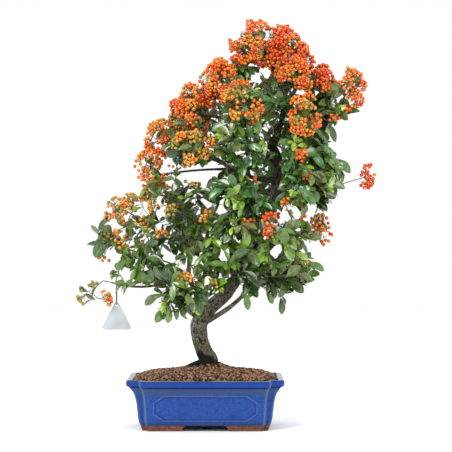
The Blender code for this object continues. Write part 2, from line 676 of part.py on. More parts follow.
def grow_leaves(name, twigs, first, trees, obstacles, rng):
    """Leaves a golden angle apart along each twig, each turned to where its mass is still open."""
    centre, radii, _, per_twig, berries = MASSES[name][2:]
    centre = Vector(centre)
    longest = min(LEAF_LENGTH, LONGEST_LEAF * min(radii))
    middles = [twigs[first - 1][1]]
    pieces = []
    for j in range(per_twig):
        for number, (start, end, *_) in enumerate(twigs):
            if number < first:
                continue
            along, across, other = shoot_frame(start, end)
            back = FIRST_LEAF + j * LEAF_SPACING + berries * BERRY_LENGTH
            site = end - along * min(back, LAST_LEAF * (end - start).length)
            turn = rng.random() * math.tau
            best, best_room = None, 0.0
            for i in range(LEAF_TRIES):
                angle = turn + i * GOLDEN_ANGLE
                spread = math.radians(rng.uniform(*LEAF_SPREAD))
                aside = across * math.cos(angle) + other * math.sin(angle)
                direction = along * math.cos(spread) + aside * math.sin(spread)
                length = longest * rng.uniform(*LEAF_SIZES)
                normal = Vector((site.x, site.y, 0)).normalized() * LEAF_OUTWARD
                tilt = (rng.gauss(0, LEAF_TILT), rng.gauss(0, LEAF_TILT), rng.gauss(0, LEAF_TILT / 2))
                normal += Vector(tilt) + Vector((0, 0, LEAF_UPWARD))
                points = leaf_points(site - direction * LEAF_ROOT, direction, normal, length)
                left, tip, right = points[1:]
                middle = (tip + left + right) / 3
                room = min((middle - other_middle).length for other_middle in middles)
                if room <= best_room or not owned_all(points[1:], name, TWIG_LOOSENESS):
                    continue
                thick = (left - right).length / LEAF_BODY + CLEARANCE
                if not clear_of(site + direction * LEAF_NECK, tip, thick, obstacles):
                    continue
                piece = leaf_mesh(points)
                if not crosses(piece, trees[:number] + trees[number + 1:]):
                    best, best_room, best_middle = piece, room, middle
            if best:
                middles.append(best_middle)
                pieces.append(best)
                trees.append(BVHTree.FromBMesh(best))
    return pieces


def grow_mass(name, routes, stems):
    """Every solid of one mass, as bmesh pieces that overlap where they join."""
    rng = random.Random(f"{SEED}-{name}")
    obstacles = [c for route in routes.values() for c in capsules(route)]
    obstacles += tag_space(routes["bough_left_drop"])
    obstacles += [run for other, stem in stems.items() if other != name for run in stem]
    first = len(stems[name])
    twigs = grow_twigs(name, stems[name], obstacles, rng)
    wood = [twig_mesh(*twig) for twig in twigs]
    trees = [BVHTree.FromBMesh(piece) for piece in wood]
    berries = grow_berries(name, twigs, first, trees, obstacles, rng)
    leaves = grow_leaves(name, twigs, first, trees, obstacles, rng)
    return wood + berries + leaves, len(wood), len(leaves), len(berries)


def fuse(name, pieces, parts, material):
    """Joins a mass's pieces into one body with one union."""
    working = make_collection("pieces_" + name)
    body = object_from(pieces[0], "foliage_" + name, parts, material)
    for i, piece in enumerate(pieces[1:]):
        object_from(piece, f"{name}_piece_{i}", working)
    modifier = body.modifiers.new("fuse", "BOOLEAN")
    modifier.operation = "UNION"
    modifier.operand_type = "COLLECTION"
    modifier.collection = working
    modifier.solver = "MANIFOLD"
    apply_modifiers(body)
    for obj in list(working.objects):
        bpy.data.objects.remove(obj)
    bpy.data.collections.remove(working)
    keep_largest_body(body)
    return body


def main():
    clear_scene()
    parts = make_collection("firethorn_bonsai")
    cutters = make_collection("cutters")
    glaze = make_material("blue_glaze", (0.03, 0.09, 0.42), 0.22)
    grit = make_material("baked_clay_soil", (0.22, 0.12, 0.06), 0.95)
    bark = make_material("bark", (0.13, 0.10, 0.07), 0.9)
    leaf = make_material("leaf_green", (0.05, 0.16, 0.03), 0.45)
    fruit = make_material("berry_orange", (0.80, 0.16, 0.02), 0.35)
    plastic = make_material("tag_card", (0.62, 0.66, 0.68), 0.5)
    cord = make_material("tag_thread", (0.03, 0.03, 0.03), 0.7)
    make_pot(parts, cutters, glaze)
    make_soil(parts, grit)
    routes = limb_routes()
    make_limbs(routes, parts, cutters, bark)
    make_tag(routes["bough_left_drop"], parts, plastic, cord)
    stems = {name: stem_of(name, routes) for name in MASSES}
    for name, mass in MASSES.items():
        pieces, twigs, leaves, berries = grow_mass(name, routes, stems)
        body = fuse(name, pieces, parts, fruit if mass[6] > mass[5] else leaf)
        body.data.calc_loop_triangles()
        print(f"{name}: {twigs} twigs, {leaves} leaves, {berries} berries, "
              f"{len(body.data.loop_triangles)} triangles")


main()
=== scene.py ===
import math
import random

import bmesh
import bpy
import numpy as np
from mathutils import Matrix, Vector, noise
from mathutils.kdtree import KDTree


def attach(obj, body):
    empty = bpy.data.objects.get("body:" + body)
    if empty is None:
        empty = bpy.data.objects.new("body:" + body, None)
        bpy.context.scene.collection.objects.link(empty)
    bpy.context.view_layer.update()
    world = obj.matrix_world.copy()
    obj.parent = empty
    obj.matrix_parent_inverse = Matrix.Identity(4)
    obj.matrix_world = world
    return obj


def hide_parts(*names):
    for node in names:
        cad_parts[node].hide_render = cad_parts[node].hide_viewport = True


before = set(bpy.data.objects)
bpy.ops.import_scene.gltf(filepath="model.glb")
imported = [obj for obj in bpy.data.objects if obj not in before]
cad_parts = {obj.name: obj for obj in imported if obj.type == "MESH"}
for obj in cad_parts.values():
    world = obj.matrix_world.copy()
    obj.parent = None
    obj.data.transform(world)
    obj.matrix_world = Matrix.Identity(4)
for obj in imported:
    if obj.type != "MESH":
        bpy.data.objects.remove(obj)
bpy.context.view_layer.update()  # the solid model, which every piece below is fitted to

print("solid model loaded:", len(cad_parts), "nodes")

mm = 0.001  # sizes below are in millimetres unless a note says otherwise
goldenAngle = math.pi * (3 - math.sqrt(5))
upward = Vector((0, 0, 1))


def deselectAll():
    if bpy.context.object and bpy.context.object.mode != "OBJECT":
        bpy.ops.object.mode_set(mode="OBJECT")
    bpy.ops.object.select_all(action="DESELECT")


def activate(obj):
    deselectAll()
    obj.select_set(True)
    bpy.context.view_layer.objects.active = obj


def applyModifiers(obj):
    activate(obj)
    for modifier in list(obj.modifiers):
        bpy.ops.object.modifier_apply(modifier=modifier.name)


def finishPiece(piece, nodes=()):
    # every piece rides on the one body and stands for the solids it covers
    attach(piece, "root")
    if nodes:
        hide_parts(*nodes)
    print("made", piece.name, len(piece.data.polygons), "faces")


# materials: every finish is a tree of nodes that reads the piece's own points

def newMaterial(name, color, roughness, specular=0.5):
    mat = bpy.data.materials.new(name)
    mat.use_nodes = True
    sockets = mat.node_tree.nodes["Principled BSDF"].inputs
    sockets["Base Color"].default_value = (*color, 1)
    sockets["Roughness"].default_value = roughness
    sockets["Specular IOR Level"].default_value = specular
    return mat


def feed(mat, socket, value):
    mat.node_tree.links.new(value, mat.node_tree.nodes["Principled BSDF"].inputs[socket])


def addNode(mat, kind, sockets, output, **settings):
    # each socket is given a number, a colour, or the output that feeds it
    node = mat.node_tree.nodes.new("ShaderNode" + kind)
    for key, value in settings.items():
        setattr(node, key, value)
    for key, value in sockets.items():
        socket = node.inputs[key]
        if isinstance(value, bpy.types.NodeSocket):
            mat.node_tree.links.new(value, socket)
        else:
            socket.default_value = (*value, 1) if socket.type == "RGBA" else value
    return node.outputs[output]


def objectPoints(mat, scale=(1, 1, 1)):
    coords = addNode(mat, "TexCoord", {}, "Object")
    return addNode(mat, "Mapping", {"Vector": coords, "Scale": scale}, "Vector")


def storedValue(mat, name):
    return addNode(mat, "Attribute", {}, "Fac", attribute_name=name)


def addNoise(mat, points, scale, detail, roughness=0.55):
    sockets = {"Vector": points, "Scale": scale, "Detail": detail, "Roughness": roughness}
    return addNode(mat, "TexNoise", sockets, "Fac")


def addRamp(mat, value, low, high):
    # 0 below low, 1 above high, smooth between
    sockets = {"Value": value, "From Min": low, "From Max": high}
    return addNode(mat, "MapRange", sockets, "Result", interpolation_type="SMOOTHSTEP")


def addMath(mat, operation, first, second):
    return addNode(mat, "Math", {0: first, 1: second}, "Value", operation=operation)


def mixColors(mat, share, first, second):
    return addNode(mat, "Mix", {"Factor": share, "A": first, "B": second}, "Result", data_type="RGBA")


def addBump(mat, height, strength, distance):
    sockets = {"Height": height, "Strength": strength, "Distance": distance * mm}
    feed(mat, "Normal", addNode(mat, "Bump", sockets, "Normal"))


def mottledMaterial(name, dark, light, roughness, patches, relief=None, ramp=(0.35, 0.65),
                    specular=0.5, stretch=(1, 1, 1)):
    # patches are a noise's scale and detail, relief also has the bump's strength and distance
    mat = newMaterial(name, light, roughness, specular)
    points = objectPoints(mat, stretch)
    share = addNoise(mat, points, *patches)
    if ramp:
        share = addRamp(mat, share, *ramp)
    feed(mat, "Base Color", mixColors(mat, share, dark, light))
    if relief:
        addBump(mat, addNoise(mat, points, *relief[:2]), *relief[2:])
    return mat


def scaled(color, *factors):
    return tuple(channel * factor for channel, factor in zip(color, factors * (3 // len(factors))))


def blended(color, other, share):
    return tuple((1 - share) * a + share * b for a, b in zip(color, other))


def storeValues(mesh, name, values):
    mesh.attributes.new(name, "FLOAT", "POINT").data.foreach_set("value", values.astype(np.float32))


# small shapes that repeat are modelled once, read as arrays, and laid out as joined meshes

def readShape(obj):
    shape = bmesh.new()
    shape.from_mesh(obj.data)
    bmesh.ops.triangulate(shape, faces=shape.faces)
    corners = np.array([vert.co[:] for vert in shape.verts])
    faces = np.array([[vert.index for vert in face.verts] for face in shape.faces])
    tints = np.array([face.material_index for face in shape.faces])
    shape.free()
    bpy.data.objects.remove(obj)
    return corners, faces, tints


def newBatch():
    return {"corners": [], "faces": [], "tints": [], "total": 0}


def addShape(batch, corners, faces, tints):
    batch["corners"].append(corners)
    batch["faces"].append(faces + batch["total"])
    batch["tints"].append(tints)
    batch["total"] += len(corners)


def addCopy(batch, shape, place, turn, size):
    # turn is a 3x3 matrix, size a number or one number for each axis
    corners, faces, tints = shape
    addShape(batch, (corners * size) @ np.array(turn).T + np.array(place), faces, tints)


def batchPiece(batch, name, materials, smoothAngle=None):
    mesh = bpy.data.meshes.new(name)
    corners = np.concatenate(batch["corners"]) * mm
    faces = np.concatenate(batch["faces"])
    mesh.from_pydata(corners.tolist(), [], faces.tolist())
    mesh.polygons.foreach_set("material_index", np.concatenate(batch["tints"]).astype(np.int32))
    for mat in materials:
        mesh.materials.append(mat)
    if smoothAngle is not None:
        mesh.shade_smooth()
        mesh.set_sharp_from_angle(angle=math.radians(smoothAngle))
    mesh.update()
    piece = bpy.data.objects.new(name, mesh)
    bpy.context.scene.collection.objects.link(piece)
    return piece


def ringSpot(across, other, angle):
    return across * math.cos(angle) + other * math.sin(angle)


def sidesOf(heading):
    # two directions square to a heading and to each other
    across = heading.orthogonal().normalized()
    return across, heading.cross(across)


def curvePoint(start, middle, end, t):
    return start * (1 - t) ** 2 + middle * 2 * t * (1 - t) + end * t ** 2


def randomVector(rng, *spread):
    return Vector([rng.gauss(0, size) for size in spread])


def leaning(shares, *directions):
    # a heading between several directions, each with its share
    total = directions[0] * shares[0]
    for direction, share in zip(directions[1:], shares[1:]):
        total = total + direction * share
    return total


def pickName(limits, value):
    # the name beside the first limit above the value
    return next(name for limit, name in limits if value < limit)


def tubeShape(places, radii, sides):
    # rings carried along the route without twist, closed with a point at each end
    places = [Vector(place) for place in places]
    along = [(b - a).normalized() for a, b in zip(places, places[1:])]
    along.append(along[-1])
    across = along[0].orthogonal().normalized()
    corners = []
    for i, (place, radius) in enumerate(zip(places, radii)):
        tangent = along[i] if i == 0 else (along[i - 1] + along[i]).normalized()
        across = (across - tangent * across.dot(tangent)).normalized()
        other = tangent.cross(across)
        for k in range(sides):
            angle = math.tau * k / sides
            corners.append(place + ringSpot(across, other, angle) * radius)
    corners += [places[0], places[-1]]
    faces = []
    for ring in range(len(places) - 1):
        for k in range(sides):
            a, b = ring * sides + k, ring * sides + (k + 1) % sides
            faces += [(a, b, b + sides), (a, b + sides, a + sides)]
    last = (len(places) - 1) * sides
    for k in range(sides):
        faces.append((len(corners) - 2, (k + 1) % sides, k))
        faces.append((len(corners) - 1, last + k, last + (k + 1) % sides))
    return np.array([corner[:] for corner in corners]), np.array(faces), np.zeros(len(faces), int)


def ringShell(name, rings, columns, stored=()):
    # rings of points in rows, welded along their seam and closed at both ends; numbers after the
    # place are stored on the points
    deselectAll()
    bpy.ops.mesh.primitive_grid_add(x_subdivisions=columns, y_subdivisions=len(rings) - 1, size=2)
    shell = bpy.context.object
    shell.name = name
    rows = np.array([ring[column % columns] for ring in rings for column in range(columns + 1)])
    shell.data.vertices.foreach_set("co", (rows[:, :3] * mm).ravel())
    for i, label in enumerate(stored):
        storeValues(shell.data, label, rows[:, 3 + i])
    activate(shell)
    bpy.ops.object.mode_set(mode="EDIT")
    bpy.ops.mesh.select_all(action="SELECT")
    bpy.ops.mesh.remove_doubles(threshold=0.05 * mm)
    bpy.ops.mesh.select_all(action="DESELECT")
    bpy.ops.mesh.select_mode(type="EDGE")
    bpy.ops.mesh.select_non_manifold()
    bpy.ops.mesh.edge_face_add()
    bpy.ops.mesh.select_all(action="SELECT")
    bpy.ops.mesh.normals_make_consistent(inside=False)
    bpy.ops.object.mode_set(mode="OBJECT")
    return shell


# camera and light

view = {
    "distance": 3000, "height": 365, "lens": 131, "sensor": 36, "clipEnd": 50,
    # place, size and power
    "lights": {"key": ((-1300, -2100, 2300), 1400, 60), "fill": ((1900, -1900, 1500), 1400, 24),
               "back": ((300, 1900, 2100), 2000, 14)},
    "skyColor": (1.0, 1.0, 1.0), "skyStrength": 1.0,
    "floorColor": (0.95, 0.95, 0.95), "floorRough": 0.9, "floorSize": 9000, "floorDrop": 0.2,
}


def softLight(name, place, size, power):
    deselectAll()
    bpy.ops.object.light_add(type="AREA", location=Vector(place) * mm)
    lamp = bpy.context.object
    lamp.name = name
    lamp.data.size = size * mm
    lamp.data.energy = power
    aim = Vector((0, 0, view["height"])) - Vector(place)
    lamp.rotation_euler = aim.to_track_quat("-Z", "Y").to_euler()


def setStage():
    deselectAll()
    bpy.ops.object.camera_add(location=(0, -view["distance"] * mm, view["height"] * mm),
                              rotation=(math.pi / 2, 0, 0))
    camera = bpy.context.object
    camera.data.lens = view["lens"]
    camera.data.sensor_width = view["sensor"]
    camera.data.clip_end = view["clipEnd"]
    bpy.context.scene.camera = camera
    for name, settings in view["lights"].items():
        softLight(name + "Light", *settings)
    deselectAll()
    bpy.ops.mesh.primitive_plane_add(size=view["floorSize"] * mm, location=(0, 0, -view["floorDrop"] * mm))
    floor = bpy.context.object
    floor.name = "floor"
    floor.data.materials.append(newMaterial("paleFloor", view["floorColor"], view["floorRough"]))
    world = bpy.data.worlds.new("softSky")
    world.use_nodes = True
    sky = world.node_tree.nodes["Background"]
    sky.inputs["Color"].default_value = (*view["skyColor"], 1)
    sky.inputs["Strength"].default_value = view["skyStrength"]
    bpy.context.scene.world = world
    bpy.context.scene.view_settings.view_transform = "Standard"


setStage()
print("camera, lights and floor are set")

# pot: a rectangle with stepped corners, flared to a lip, on corner feet

pot = {
    "centre": (-37, 0), "half": (119, 83), "step": (106, 70), "stepShare": 0.46,
    # height and flare of the wall, outside and then inside
    "outer": ((0, -7), (9, -3.4), (12.4, -2.4), (13, -1.5), (22, 0.8), (35, 2.2), (48, 3.7), (58, 5.6),
              (65, 7.8), (70, 10.4), (75, 14), (78.2, 16.8), (79.2, 18), (79.8, 20.2), (81.5, 21.6),
              (85, 22.4), (88.6, 22.2), (90.4, 20.8), (91, 19)),
    "inner": ((91, 13), (90, 11.4), (84, 8), (70, 0), (55, -5), (19, -9)),
    "columns": 900, "fineStep": 0.8, "fineZone": (14, 67), "coarseStep": 1.8,
    "cornerRound": 3.2, "arcSteps": 8, "cornerClear": 4,
    "footHeight": 10, "floorHeight": 12, "footWidth": 15, "cutDrop": -2, "cutReach": 20,
    "frontGap": (72, 89.8), "sideGap": (54, 71.8),  # width at its top and at its foot
    "panelHalf": (88, 18.5), "panelHeight": 41, "panelCut": (16, 11),
    "sidePanelHalf": (52, 18.5), "lineGap": 3.6, "lineWidth": 1.3, "lineRise": 0.6, "plateRise": 0.9,
    # how thin the glaze is on corners, on the panel's line and on the rim, where it also stands for a painted
    # pale reflection, and how dark the painted shade in the groove is
    "thinCorner": (3.4, 0.75), "thinLine": 0.3, "thinRim": (90.2, 0.35), "grooveShade": 0.7,
    "glaze": (0.005, 0.036, 0.19), "glazeLip": (0.001, 0.038, 0.26), "glazePale": (0.012, 0.067, 0.32),
    # the darkest blue also paints the shadow under the lip and the shade in the panel's groove
    "glazeLine": (0.001, 0.005, 0.04), "glazeGrey": (0.035, 0.070, 0.15),
    # the palest blue is thin glaze and also a painted reflection on corners, the panel's line and the rim
    "glazeFoot": (0.020, 0.034, 0.075), "glazeThinAndSheen": (0.12, 0.18, 0.34),
    "clay": (0.21, 0.078, 0.045), "clayDark": (0.10, 0.036, 0.022),
    # from and to a height, and for the first two the share that shows
    "runBands": ((62, 76, 0.62, "glazeGrey"), (24, 14, 0.8, "glazeFoot")),
    # the first band paints a shadow under the lip's overhang
    "lineBands": ((76.4, 77.6, "glazeLine"), (79.4, 80.6, "glazeLip"), (88.2, 89.6, "glazeLine")),
    "runBlur": 9, "glazeEdge": (7.7, 8.1), "edgeWave": -3.4, "clayRough": 0.82, "glazeRough": 0.14,
}


def potOutline(flare):
    halfX, halfY = pot["half"][0] + flare, pot["half"][1] + flare
    stepX = pot["step"][0] + pot["stepShare"] * flare
    stepY = pot["step"][1] + pot["stepShare"] * flare
    corners = []
    for signX, signY, turned in ((1, 1, 0), (-1, 1, 1), (-1, -1, 0), (1, -1, 1)):
        step = [(halfX, stepY), (stepX, stepY), (stepX, halfY)]
        corners += [Vector((signX * x, signY * y)) for x, y in (reversed(step) if turned else step)]
    return corners


def roundedLoop(corners, radius, count):
    # points at even steps round the outline, its corners turned with an arc
    dense = []
    for i, corner in enumerate(corners):
        before = (corners[i - 1] - corner).normalized() * radius
        after = (corners[(i + 1) % len(corners)] - corner).normalized() * radius
        for k in range(pot["arcSteps"] + 1):
            t = k / pot["arcSteps"]
            dense.append(corner + before * (1 - t) ** 2 + after * t ** 2)
    dense.append(dense[0])
    runs = np.array([(b - a).length for a, b in zip(dense, dense[1:])])
    marks = np.concatenate([[0], np.cumsum(runs)])
    wanted = np.linspace(0, marks[-1], count, endpoint=False)
    places = np.array([point[:] for point in dense])
    return np.stack([np.interp(wanted, marks, places[:, axis]) for axis in (0, 1)], axis=1)


def flareAt(profile, height):
    heights, flares = zip(*sorted(profile))
    return float(np.interp(height, heights, flares))


def panelDistance(along, height, half):
    # signed distance to a long panel whose corners are cut off
    x, z = abs(along), abs(height - pot["panelHeight"])
    cutX, cutZ = pot["panelCut"]
    cut = ((x - half[0]) / cutX + (z - half[1]) / cutZ + 1) / math.hypot(1 / cutX, 1 / cutZ)
    return max(x - half[0], z - half[1], cut)


def panelRise(x, y, height):
    # a raised plate with a fine line round it on each of the four walls
    onFront = abs(y) - pot["step"][1] > abs(x) - pot["step"][0]
    along, half = (x, pot["panelHalf"]) if onFront else (y, pot["sidePanelHalf"])
    edge = panelDistance(along, height, half)
    line = max(0, 1 - ((edge - pot["lineGap"]) / pot["lineWidth"]) ** 2)
    plate = min(1, max(0, 0.5 - edge / pot["lineWidth"]))
    groove = max(0, 1 - abs(edge - pot["lineWidth"]) / pot["lineWidth"])
    return line * pot["lineRise"] + plate * pot["plateRise"], groove, line


def glazeMaterial():
    # speckled, greyer where it ran thin under the lip and above the feet, and bare clay below
    mat = newMaterial("blueGlaze", pot["glaze"], pot["glazeRough"], specular=0.25)
    points = objectPoints(mat)
    z = addNode(mat, "SeparateXYZ", {"Vector": points}, "Z")
    specks = addRamp(mat, addNoise(mat, points, 620, 2), 0.42, 0.60)
    clouds = addNoise(mat, points, 42, 4)
    color = mixColors(mat, specks, pot["glaze"], pot["glazePale"])
    color = mixColors(mat, addRamp(mat, clouds, 0.52, 0.78), color, pot["glaze"])
    run = addMath(mat, "ADD", z, addMath(mat, "MULTIPLY", clouds, pot["runBlur"] * mm))
    for low, high, most, tint in pot["runBands"]:
        share = addMath(mat, "MULTIPLY", addRamp(mat, run, low * mm, high * mm), most)
        color = mixColors(mat, share, color, pot[tint])
    # the first band is a painted shadow under the lip's overhang, then come the lip's own blue and a dark
    # line along its top
    for low, high, tint in pot["lineBands"]:
        color = mixColors(mat, addRamp(mat, z, low * mm, high * mm), color, pot[tint])
    # paler where the glaze is thin and a painted reflection lies, on corners, the panel's line and the rim,
    # then painted shade in the panel's groove
    for label, tint in (("thin", "glazeThinAndSheen"), ("line", "glazeLine")):
        color = mixColors(mat, storedValue(mat, label), color, pot[tint])
    wave = addMath(mat, "MULTIPLY", addNoise(mat, points, 16, 2), pot["edgeWave"] * mm)
    low, high = pot["glazeEdge"]
    glazed = addRamp(mat, addMath(mat, "ADD", z, wave), low * mm, high * mm)
    grain = addRamp(mat, addNoise(mat, points, 260, 4), 0.35, 0.7)
    clay = mixColors(mat, grain, pot["clayDark"], pot["clay"])
    feed(mat, "Base Color", mixColors(mat, glazed, clay, color))
    sockets = {"Value": glazed, "To Min": pot["clayRough"], "To Max": pot["glazeRough"]}
    feed(mat, "Roughness", addNode(mat, "MapRange", sockets, "Result"))
    addBump(mat, addNoise(mat, points, 190, 2), 0.12, 0.5)
    return mat


def potRing(z, flare, outside):
    # x, y and z of each point, how thin its glaze is, which also carries a painted reflection, and how much
    # painted shade it takes in the panel's groove
    outline = potOutline(flare)
    corners = np.array([corner[:] for corner in outline])
    cornerReach, cornerThin = pot["thinCorner"]
    rimHeight, rimThin = pot["thinRim"]
    ring = []
    for x, y in roundedLoop(outline, pot["cornerRound"], pot["columns"]):
        near = np.hypot(corners[:, 0] - x, corners[:, 1] - y).min()
        thin, groove = max(0, 1 - near / cornerReach) * cornerThin, 0
        if outside and pot["fineZone"][0] < z < pot["fineZone"][1] and near > pot["cornerClear"]:
            rise, groove, line = panelRise(x, y, z)
            onFront = abs(y) > abs(x) - pot["step"][0] + pot["step"][1]
            x, y = (x, y + math.copysign(rise, y)) if onFront else (x + math.copysign(rise, x), y)
            thin = max(thin, line * pot["thinLine"])
        # the rim is paler: thin glaze and a painted reflection
        if z > rimHeight:
            thin = max(thin, rimThin)
        # the groove's share is painted shade, mixed in with the darkest blue
        ring.append((pot["centre"][0] + x, pot["centre"][1] + y, z, thin, groove * pot["grooveShade"]))
    return ring


def makePot():
    rows = [0.0]
    while rows[-1] < pot["outer"][-1][0] - pot["coarseStep"]:
        fine = pot["fineZone"][0] <= rows[-1] <= pot["fineZone"][1]
        rows.append(rows[-1] + (pot["fineStep"] if fine else pot["coarseStep"]))
    heights = sorted(set(rows) | {z for z, flare in pot["outer"]})
    rings = [potRing(z, flareAt(pot["outer"], z), True) for z in heights]
    rings += [potRing(z, flare, False) for z, flare in pot["inner"]]
    return ringShell("potBody", rings, pot["columns"], ("thin", "line"))


def footCutter(topHalf, lowHalf, top):
    # a block under the pot, wider or narrower at its foot
    deselectAll()
    bpy.ops.mesh.primitive_cube_add(size=2)
    cutter = bpy.context.object
    for vert in cutter.data.vertices:
        (halfX, halfY), z = (topHalf, top) if vert.co.z > 0 else (lowHalf, pot["cutDrop"])
        x, y = vert.co.x * halfX, vert.co.y * halfY
        vert.co = Vector((pot["centre"][0] + x, pot["centre"][1] + y, z)) * mm
    return cutter


def cutFeet(body):
    reach = pot["half"][0] + pot["cutReach"]
    inset = pot["outer"][0][1] - pot["footWidth"]
    recess = (pot["half"][0] + inset, pot["half"][1] + inset)
    cutters = [footCutter(*[(width / 2, reach) for width in pot["frontGap"]], pot["footHeight"]),
               footCutter(*[(reach, width / 2) for width in pot["sideGap"]], pot["footHeight"]),
               footCutter(recess, recess, pot["floorHeight"])]
    for cutter in cutters:
        cut = body.modifiers.new("feet", "BOOLEAN")
        cut.operation = "DIFFERENCE"
        cut.object = cutter
        cut.solver = "EXACT"
    applyModifiers(body)
    for cutter in cutters:
        bpy.data.objects.remove(cutter)


potBody = makePot()
cutFeet(potBody)
potBody.data.materials.clear()
potBody.data.materials.append(glazeMaterial())
activate(potBody)
bpy.ops.object.shade_smooth_by_angle(angle=math.radians(35))
finishPiece(potBody, ["pot"])

# soil: a mound of baked clay grains over a dark bed

soil = {
    "edge": 88, "rise": 13.5, "fullness": 6, "peak": 19, "peakWidth": 40, "peakCentre": (-34, 0),
    "gap": 0.6, "footDepth": 60, "bedDrop": 2.2, "bedWave": (0.2, 0.8), "rings": 26, "columns": 160,
    "cornerRound": 2, "middle": 0.995,
    "area": (300, 220), "spacing": 3.3, "rowSpacing": 0.9, "jitter": 0.35, "grain": (1.2, 2.7),
    "grainShares": ((0.85, 1.2), (0.75, 1.05), (0.65, 0.95)), "grainSunk": 0.55,
    "looseGrains": 2200, "looseHalf": (135, 95), "looseLift": 1.6,
    # wet round the trunk, then a dark ring, by the distance from its middle
    "wetCentre": (-38, -6), "wetHalf": (31, 24), "wetWave": (0.12, 0.35), "wetTo": 0.8, "darkTo": 1.05,
    "darkShare": 0.6, "picks": ((0.42, "Tan"), (0.72, "Brown"), (0.88, "Rust"), (1, "Dark")),
    "bedColor": (0.035, 0.020, 0.012),
    "tints": {"Tan": (0.36, 0.215, 0.13), "Brown": (0.115, 0.064, 0.037), "Rust": (0.19, 0.095, 0.050),
              "Dark": (0.034, 0.020, 0.014), "Wet": (0.007, 0.007, 0.005)},
    "seed": 11,
}


def moundHeight(x, y):
    # nearly level out to the pot's edge, with a low hill round the trunk
    flare = flareAt(pot["inner"], soil["edge"]) - soil["gap"]
    edgeX, edgeY = pot["half"][0] + flare, pot["half"][1] + flare
    across, deep = abs(x - pot["centre"][0]) / edgeX, abs(y - pot["centre"][1]) / edgeY
    share = min(1.0, (across ** 4 + deep ** 4) ** 0.25)
    away = math.hypot(x - soil["peakCentre"][0], y - soil["peakCentre"][1]) / soil["peakWidth"]
    return soil["edge"] + soil["rise"] * (1 - share ** soil["fullness"]) + soil["peak"] * math.exp(-away ** 2)


def insidePot(x, y, margin):
    flare = flareAt(pot["inner"], soil["edge"])
    x, y = abs(x - pot["centre"][0]), abs(y - pot["centre"][1])
    stepX = pot["step"][0] + pot["stepShare"] * flare - margin
    stepY = pot["step"][1] + pot["stepShare"] * flare - margin
    if x > pot["half"][0] + flare - margin or y > pot["half"][1] + flare - margin:
        return False
    return x < stepX or y < stepY


def makeSoilBed():
    # the stepped outline of the pot's inside, drawn in ring by ring over the mound
    centreX, centreY = pot["centre"]
    waves, waveRise = soil["bedWave"]
    foot, edge = [roundedLoop(potOutline(flareAt(pot["inner"], height) - soil["gap"]),
                              soil["cornerRound"], soil["columns"])
                  for height in (soil["footDepth"], soil["edge"])]
    rings = [[(centreX + x, centreY + y, soil["footDepth"]) for x, y in foot]]
    for row in range(soil["rings"] + 1):
        ring = []
        for x, y in edge * (1 - row / soil["rings"] * soil["middle"]):
            z = moundHeight(x + centreX, y + centreY) - soil["bedDrop"]
            z += noise.noise(Vector((x, y, 0)) * waves) * waveRise
            ring.append((centreX + x, centreY + y, z))
        rings.append(ring)
    return ringShell("soilBed", rings, soil["columns"])


def grainShape():
    deselectAll()
    bpy.ops.mesh.primitive_ico_sphere_add(subdivisions=1, radius=1)
    return readShape(bpy.context.object)


def randomTurn(rng):
    axis = randomVector(rng, 1, 1, 1).normalized()
    return Matrix.Rotation(rng.random() * math.tau, 3, axis)


def grainMaterial(name, color):
    return mottledMaterial("soil" + name, scaled(color, 0.6), color, 0.93, (900, 3), (900, 3, 0.5, 0.4),
                           ramp=(0.35, 0.6), specular=0.25)


def grainTint(x, y, rng):
    (wetX, wetY), (halfX, halfY) = soil["wetCentre"], soil["wetHalf"]
    waves, waveRise = soil["wetWave"]
    wet = math.hypot((x - wetX) / halfX, (y - wetY) / halfY)
    wet += noise.noise(Vector((x, y, 5)) * waves) * waveRise
    pick = rng.random()
    if wet < soil["wetTo"]:
        return "Wet"
    if wet < soil["darkTo"] and pick < soil["darkShare"]:
        return "Dark"
    return pickName(soil["picks"], pick)


def makeGrains():
    rng = random.Random(soil["seed"])
    shape = grainShape()
    batches = {name: newBatch() for name in soil["tints"]}
    (centreX, centreY), (wide, deep) = pot["centre"], soil["area"]
    step, jitter = soil["spacing"], soil["jitter"]
    places = []
    for row in range(int(deep / step)):
        for column in range(int(wide / step)):
            x = centreX - wide / 2 + (column + 0.5 * (row % 2) + rng.uniform(-jitter, jitter)) * step
            y = centreY - deep / 2 + (row + rng.uniform(-jitter, jitter)) * step * soil["rowSpacing"]
            places.append((x, y, 0.0))
    halfX, halfY = soil["looseHalf"]
    for i in range(soil["looseGrains"]):
        x, y = centreX + rng.uniform(-halfX, halfX), centreY + rng.uniform(-halfY, halfY)
        places.append((x, y, soil["looseLift"]))
    for x, y, lift in places:
        radius = rng.uniform(*soil["grain"])
        if not insidePot(x, y, radius + soil["gap"]):
            continue
        tint = grainTint(x, y, rng)
        z = moundHeight(x, y) - soil["bedDrop"] + radius * soil["grainSunk"] + lift
        size = np.array([radius * rng.uniform(*share) for share in soil["grainShares"]])
        addCopy(batches[tint], shape, (x, y, z), randomTurn(rng), size)
    for name, batch in batches.items():
        piece = batchPiece(batch, "soil" + name, [grainMaterial(name, soil["tints"][name])])
        finishPiece(piece)


soilBed = makeSoilBed()
soilBed.data.materials.append(grainMaterial("Bed", soil["bedColor"]))
activate(soilBed)
bpy.ops.object.shade_smooth()
finishPiece(soilBed, ["soil"])
makeGrains()

# trunk and boughs: the plant's limbs, by the rule of its solids

